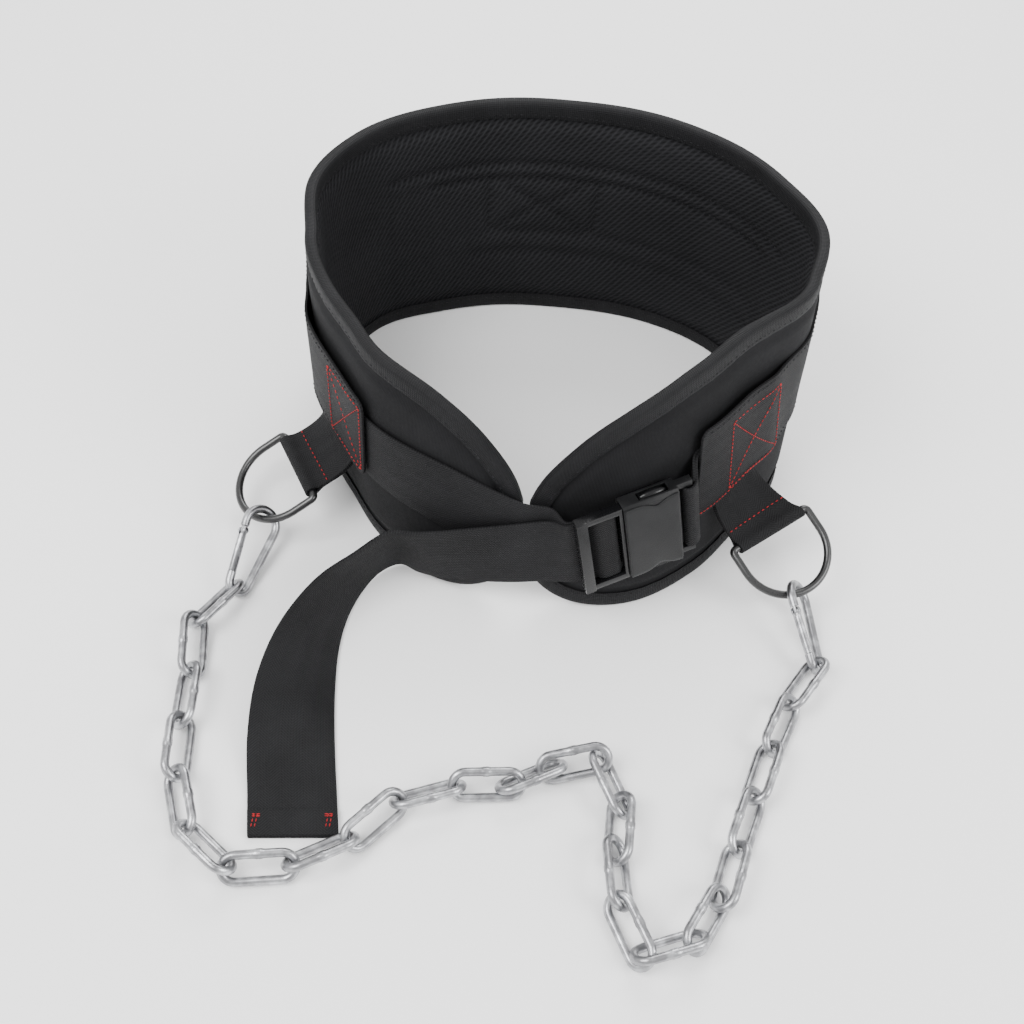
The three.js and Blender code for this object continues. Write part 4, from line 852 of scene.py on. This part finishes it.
def makeBuckleFace():
    s = faceSettings
    middle, reach = (s["from"] + s["to"]) / 2, (s["to"] - s["from"]) / 2
    rows = []
    for i in range(29):
        x = s["from"] + 2 * reach * i / 28
        half = s["half"] - s["notch"] * math.exp(-((x - s["notchAt"]) / s["notchWide"]) ** 2)
        cells = []
        for j in range(23):
            v = 2 * j / 22 - 1
            crown = s["crown"] * (1 - v * v) * (1 - ((x - middle) / reach) ** 2) ** 0.5
            cells.append(buckleAt(x, s["out"] + crown, half * v))
        rows.append(cells)
    face = thicken(gridPiece("buckleFace", rows), s["thick"])
    finish(face, looks["shellPlastic"])
    basis = Matrix([Vector(buckleFrame[axis]) for axis in ("along", "out", "tall")]).transposed()
    for name, side in (("top", 1), ("foot", -1)):
        clearSelection()
        bpy.ops.mesh.primitive_uv_sphere_add(segments=32, ring_count=18, radius=1)
        tab = bpy.context.active_object
        tab.name = f"buckleTab.{name}"
        size = Matrix.Diagonal((*[v * mm for v in s["tab"]], 1))
        place = Matrix.Translation(buckleAt(s["notchAt"], 0, side * s["tabAt"]) * mm)
        tab.data.transform(place @ basis.to_4x4() @ size)
        bpy.ops.object.shade_smooth()
        finish(tab, looks["frontPlastic"])


makeBuckleFace()
print("buckle made")

# Snap hooks: bent wire with a gate that springs shut
hookSettings = {"wire": 2.75, "wide": 10.75, "narrow": 6.5, "span": 39.25, "slant": 0.10849, "length": 39.019,
                "wireFrom": 3.8, "wireShort": 5, "tongue": (5.6, 3.6, 1.9), "tongueAt": 7, "tongueBack": 1.9,
                "left": {"centre": (-176.355, -250.337, 19.094), "along": (-0.1987, -0.9348, -0.2944),
                         "gate": (-0.7461, -0.0505, 0.6639)},
                "right": {"centre": (164.598, -270.127, 19.605), "along": (0.263, -0.9172, -0.2994),
                          "gate": (-0.5819, -0.3983, 0.7091)}}


def hookSide(step):
    s = hookSettings
    return (s["wide"] * math.sin(s["slant"]) + step * math.cos(s["slant"]),
            s["wide"] * math.cos(s["slant"]) - step * math.sin(s["slant"]))


def makeHook(side):
    s = hookSettings
    f = s[side]
    centre = Vector(f["centre"])
    along = Vector(f["along"]).normalized()
    gate = Vector(f["gate"]).normalized()
    normal = along.cross(gate).normalized()
    turn = math.pi / 2 - s["slant"]
    flat = [hookSide(s["wireFrom"])]
    for i in range(29):
        w = turn + (2 * math.pi - 2 * turn) * i / 28
        flat.append((s["wide"] * math.cos(w), s["wide"] * math.sin(w)))
    for i in range(21):
        w = -turn + 2 * turn * i / 20
        flat.append((s["span"] + s["narrow"] * math.cos(w), s["narrow"] * math.sin(w)))
    flat.append(hookSide(s["length"] - s["wireShort"]))
    at = lambda x, y, z=0: centre + along * x + gate * y + normal * z
    body = wirePiece(f"snapHook.{side}", [at(x, y) for x, y in flat], s["wire"], False, [], None, sides=5)
    # Flat tongue at the gate's hinge
    px, py = hookSide(s["tongueAt"])
    ax = Vector((math.cos(-s["slant"]), math.sin(-s["slant"]), 0))
    basis = Matrix((along * ax.x + gate * ax.y, along * -ax.y + gate * ax.x, normal)).transposed()
    clearSelection()
    bpy.ops.mesh.primitive_cube_add(size=1)
    tongue = bpy.context.active_object
    size = Matrix.Diagonal((*[v * mm for v in s["tongue"]], 1))
    tongue.data.transform(Matrix.Translation(Vector((-s["tongueBack"], 0, 0)) * mm) @ size)
    bevel = tongue.modifiers.new("softEdge", "BEVEL")
    bevel.width = 0.35 * mm
    bevel.segments = 2
    applyAll(tongue)
    tongue.data.transform(Matrix.Translation(at(px, py) * mm) @ basis.to_4x4())
    clearSelection()
    body.select_set(True)
    tongue.select_set(True)
    bpy.context.view_layer.objects.active = body
    bpy.ops.object.join()
    activate(body)
    bpy.ops.object.shade_smooth_by_angle(angle=50 * deg)
    finish(body, looks["galvanised"], nodes=[f"hook_{side}"])
    softenedCopy(f"hookGate.{side}", f"gate_{side}", "galvanised", body=f"gate_{side}",
                 edge=0)


for side in ("left", "right"):
    makeHook(side)
print("hooks made")

# Chain: long links, each with its weld
linkSettings = {"wire": 2.5, "bend": 7.5, "straight": 25,
                "weld": [(3.4, 1), (2.2, 1.05), (1.4, 1.15), (0.5, 1.17), (-0.5, 1.12), (-1.3, 1.15),
                         (-2.3, 1.04), (-3.4, 1)],
                "weldShift": 0.7, "weldTurn": 2.1}


def makeLink(number):
    s = linkSettings
    node = f"chain_link_{number:02d}"
    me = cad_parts[node].data
    co = np.zeros(len(me.vertices) * 3)
    me.vertices.foreach_get("co", co)
    co = np.unique(np.round(co.reshape(-1, 3) / mm, 3), axis=0)
    centre = co.mean(axis=0)
    axes = np.linalg.svd(co - centre, full_matrices=False)[2]
    a, b = Vector(axes[0]), Vector(axes[1])
    if a.x < 0:
        a = -a
    if b.z < 0:
        b = -b
    flat = []
    swell = {}
    for sign in (1, -1):
        for i in range(15):
            w = -math.pi / 2 + math.pi * i / 14 + (math.pi if sign < 0 else 0)
            flat.append((sign * s["straight"] / 2 + s["bend"] * math.cos(w), s["bend"] * math.sin(w)))
        if sign > 0:
            # The weld swells the wire half way along one side
            for x, wide in s["weld"]:
                swell[len(flat)] = wide
                flat.append((x + s["weldShift"] * math.sin(number * s["weldTurn"]), s["bend"]))
    c = Vector(centre)
    path = [c + a * x + b * y for x, y in flat]
    wirePiece(f"link.{number:02d}", path, s["wire"], True, [node], "galvanised", swell=swell)


for number in range(1, 25):
    makeLink(number)
print("chain made")

# Thread: small stitches laid along sewn lines
stitchSettings = {"every": 3.3, "blackEvery": 4.2, "long": 2.3, "thick": 0.75, "overBand": 1.05, "overHem": 2.6,
                  "rightBox": (134, 189, 64, 117), "leftBox": (-45, -3, 64, 119),
                  "rowFrom": (104.3, 61.8), "rowStep": (9, 0.25), "hemBars": (2.5, 42.5), "hemBar": 5,
                  "hemTacks": (3, 5, 44, 46), "backTacks": (451, 528), "backTack": (63.5, 67.5, -2.5),
                  "bandIn": 3.2, "bandEnd": 6, "edgeIn": 8.6, "edgeOut": 3.95}


def sewLines(name, lines, look, every):
    s = stitchSettings
    clearSelection()
    bpy.ops.mesh.primitive_uv_sphere_add(segments=6, ring_count=4, radius=1)
    template = bpy.context.active_object
    stitches = []
    for line in lines:
        pts = smoothLine([list(p) for p in line], every)
        for a, b in zip(pts[:-1], pts[1:]):
            a, b = Vector(a), Vector(b)
            d = b - a
            if d.length < 0.5:
                continue
            turn = d.to_track_quat("X", "Z").to_matrix().to_4x4()
            data = template.data.copy()
            size = Matrix.Diagonal((s["long"] / 2 * mm, s["thick"] / 2 * mm, s["thick"] / 2 * mm, 1))
            data.transform(Matrix.Translation((a + b) / 2 * mm) @ turn @ size)
            obj = bpy.data.objects.new(name, data)
            bpy.context.scene.collection.objects.link(obj)
            stitches.append(obj)
    bpy.data.objects.remove(template)
    clearSelection()
    for obj in stitches:
        obj.select_set(True)
    bpy.context.view_layer.objects.active = stitches[0]
    bpy.ops.object.join()
    obj = bpy.context.active_object
    obj.name = name
    bpy.ops.object.shade_smooth()
    finish(obj, looks[look])


def onBand(run, height):
    return wallAt(run, height, bandOut(run % girth) + stitchSettings["overBand"])


def bandBox(start, end, foot, top):
    # A sewn box with its cross
    ends = [((start, foot), (end, foot)), ((start, top), (end, top)), ((start, foot), (start, top)),
            ((end, foot), (end, top)), ((start, foot), (end, top)), ((start, top), (end, foot))]
    return [[onBand(p[0] + (q[0] - p[0]) * t / 6, p[1] + (q[1] - p[1]) * t / 6) for t in range(7)]
            for p, q in ends]


sewn = stitchSettings
redLines = bandBox(*sewn["rightBox"])
start, end, foot, top = sewn["leftBox"]
redLines += bandBox(bandSettings["to"] + start, bandSettings["to"] + end, foot, top)
(runFrom, heightFrom), (runStep, heightStep) = sewn["rowFrom"], sewn["rowStep"]
redLines.append([onBand(runFrom + k * runStep, heightFrom + k * heightStep) for k in range(10)])
for side in ("left", "right"):
    row = []
    for column in loopColumns[side]:
        p, q = column[5], column[4]
        row.append(p.lerp(q, 0.35) + (p - column[-6]).normalized() * 0.85)
    redLines.append(row)
(low, high), lowBack = strapPairs[-1], strapPairs[-2][0]
back = (lowBack - low).normalized()
across = (high - low).normalized()
hemLine = lambda d, v: low + back * d + across * v + Vector((0, 0, sewn["overHem"]))
for d in (13, 11.8):
    redLines += [[hemLine(d, v), hemLine(d, v + sewn["hemBar"])] for v in sewn["hemBars"]]
redLines += [[hemLine(13.5, v), hemLine(5, v + 2)] for v in sewn["hemTacks"]]
foot, top, out = sewn["backTack"]
redLines += [[wallAt(run, foot, out), wallAt(run, top, out)] for run in sewn["backTacks"]]
sewLines("redStitching", redLines, "redThread", sewn["every"])

blackLines = []
for height in (121, 110, 66, 50):
    start, end = next((a, b) for h, a, b in padSettings["sewn"] if h == height)
    blackLines.append([wallAt(start + (end - start) * k / 30, height, padSettings["threadOut"])
                       for k in range(31)])
lo, hi, foot, top = padSettings["cross"]
for p, q in (((lo, foot), (lo, top)), ((hi, foot), (hi, top)),
             ((lo, foot), (hi, top)), ((lo, top), (hi, foot))):
    blackLines.append([wallAt(p[0] + (q[0] - p[0]) * k / 12, p[1] + (q[1] - p[1]) * k / 12,
                              padSettings["threadOut"] - 0.1) for k in range(13)])
for edge in (sewn["bandIn"], bandSettings["width"] - sewn["bandIn"]):
    foot = lambda run: bandMiddle(run) - bandSettings["width"] / 2 + edge
    span = bandSettings["to"] - bandSettings["from"] - 2 * sewn["bandEnd"]
    bandRuns = [bandSettings["from"] + sewn["bandEnd"] + span * k / 60 for k in range(61)]
    blackLines.append([onBand(run, foot(run)) for run in bandRuns])
ring = outlineRing(9.0)
for out in (sewn["edgeOut"], -sewn["edgeOut"]):
    line = []
    for i, p in enumerate(ring):
        a, b = ring[i - 1], ring[(i + 1) % len(ring)]
        d = Vector((b[0] - a[0], b[1] - a[1])).normalized()
        line.append(wallAt(p[0] + d.y * sewn["edgeIn"], p[1] - d.x * sewn["edgeIn"], out))
    blackLines.append(line + [line[0]])
sewLines("blackStitching", blackLines, "blackThread", sewn["blackEvery"])
print("stitching made")


# Stage: pale floor and soft light; each lamp has its place, size in metres and watts
stageSettings = {"floor": (0.97, 0.97, 0.97, 1), "floorRough": 0.9, "sky": 1.15,
                 "lamps": {"key": ((-0.8, -0.7, 1.3), 0.9, 26), "side": ((1.1, -0.7, 0.9), 0.7, 14),
                           "rear": ((0.1, 1.1, 1.2), 1.0, 22)}}


def makeStage():
    s = stageSettings
    clearSelection()
    bpy.ops.mesh.primitive_plane_add(size=12, location=(0, 0, -0.0003))
    floor = bpy.context.active_object
    floor.name = "floor"
    mat = bpy.data.materials.new("paleFloor")
    mat.use_nodes = True
    shader = mat.node_tree.nodes["Principled BSDF"]
    shader.inputs["Base Color"].default_value = s["floor"]
    shader.inputs["Roughness"].default_value = s["floorRough"]
    floor.data.materials.append(mat)
    world = bpy.data.worlds.new("studio")
    world.use_nodes = True
    world.node_tree.nodes["Background"].inputs["Color"].default_value = (1, 1, 1, 1)
    world.node_tree.nodes["Background"].inputs["Strength"].default_value = s["sky"]
    bpy.context.scene.world = world
    for name, (place, size, power) in s["lamps"].items():
        data = bpy.data.lights.new(name, "AREA")
        data.size = size
        data.energy = power
        lamp = bpy.data.objects.new(name, data)
        lamp.location = place
        lamp.rotation_euler = (Vector((0, -0.2, 0.05)) - Vector(place)).to_track_quat("-Z", "Y").to_euler()
        bpy.context.scene.collection.objects.link(lamp)


makeStage()
clearSelection()
print("stage made")
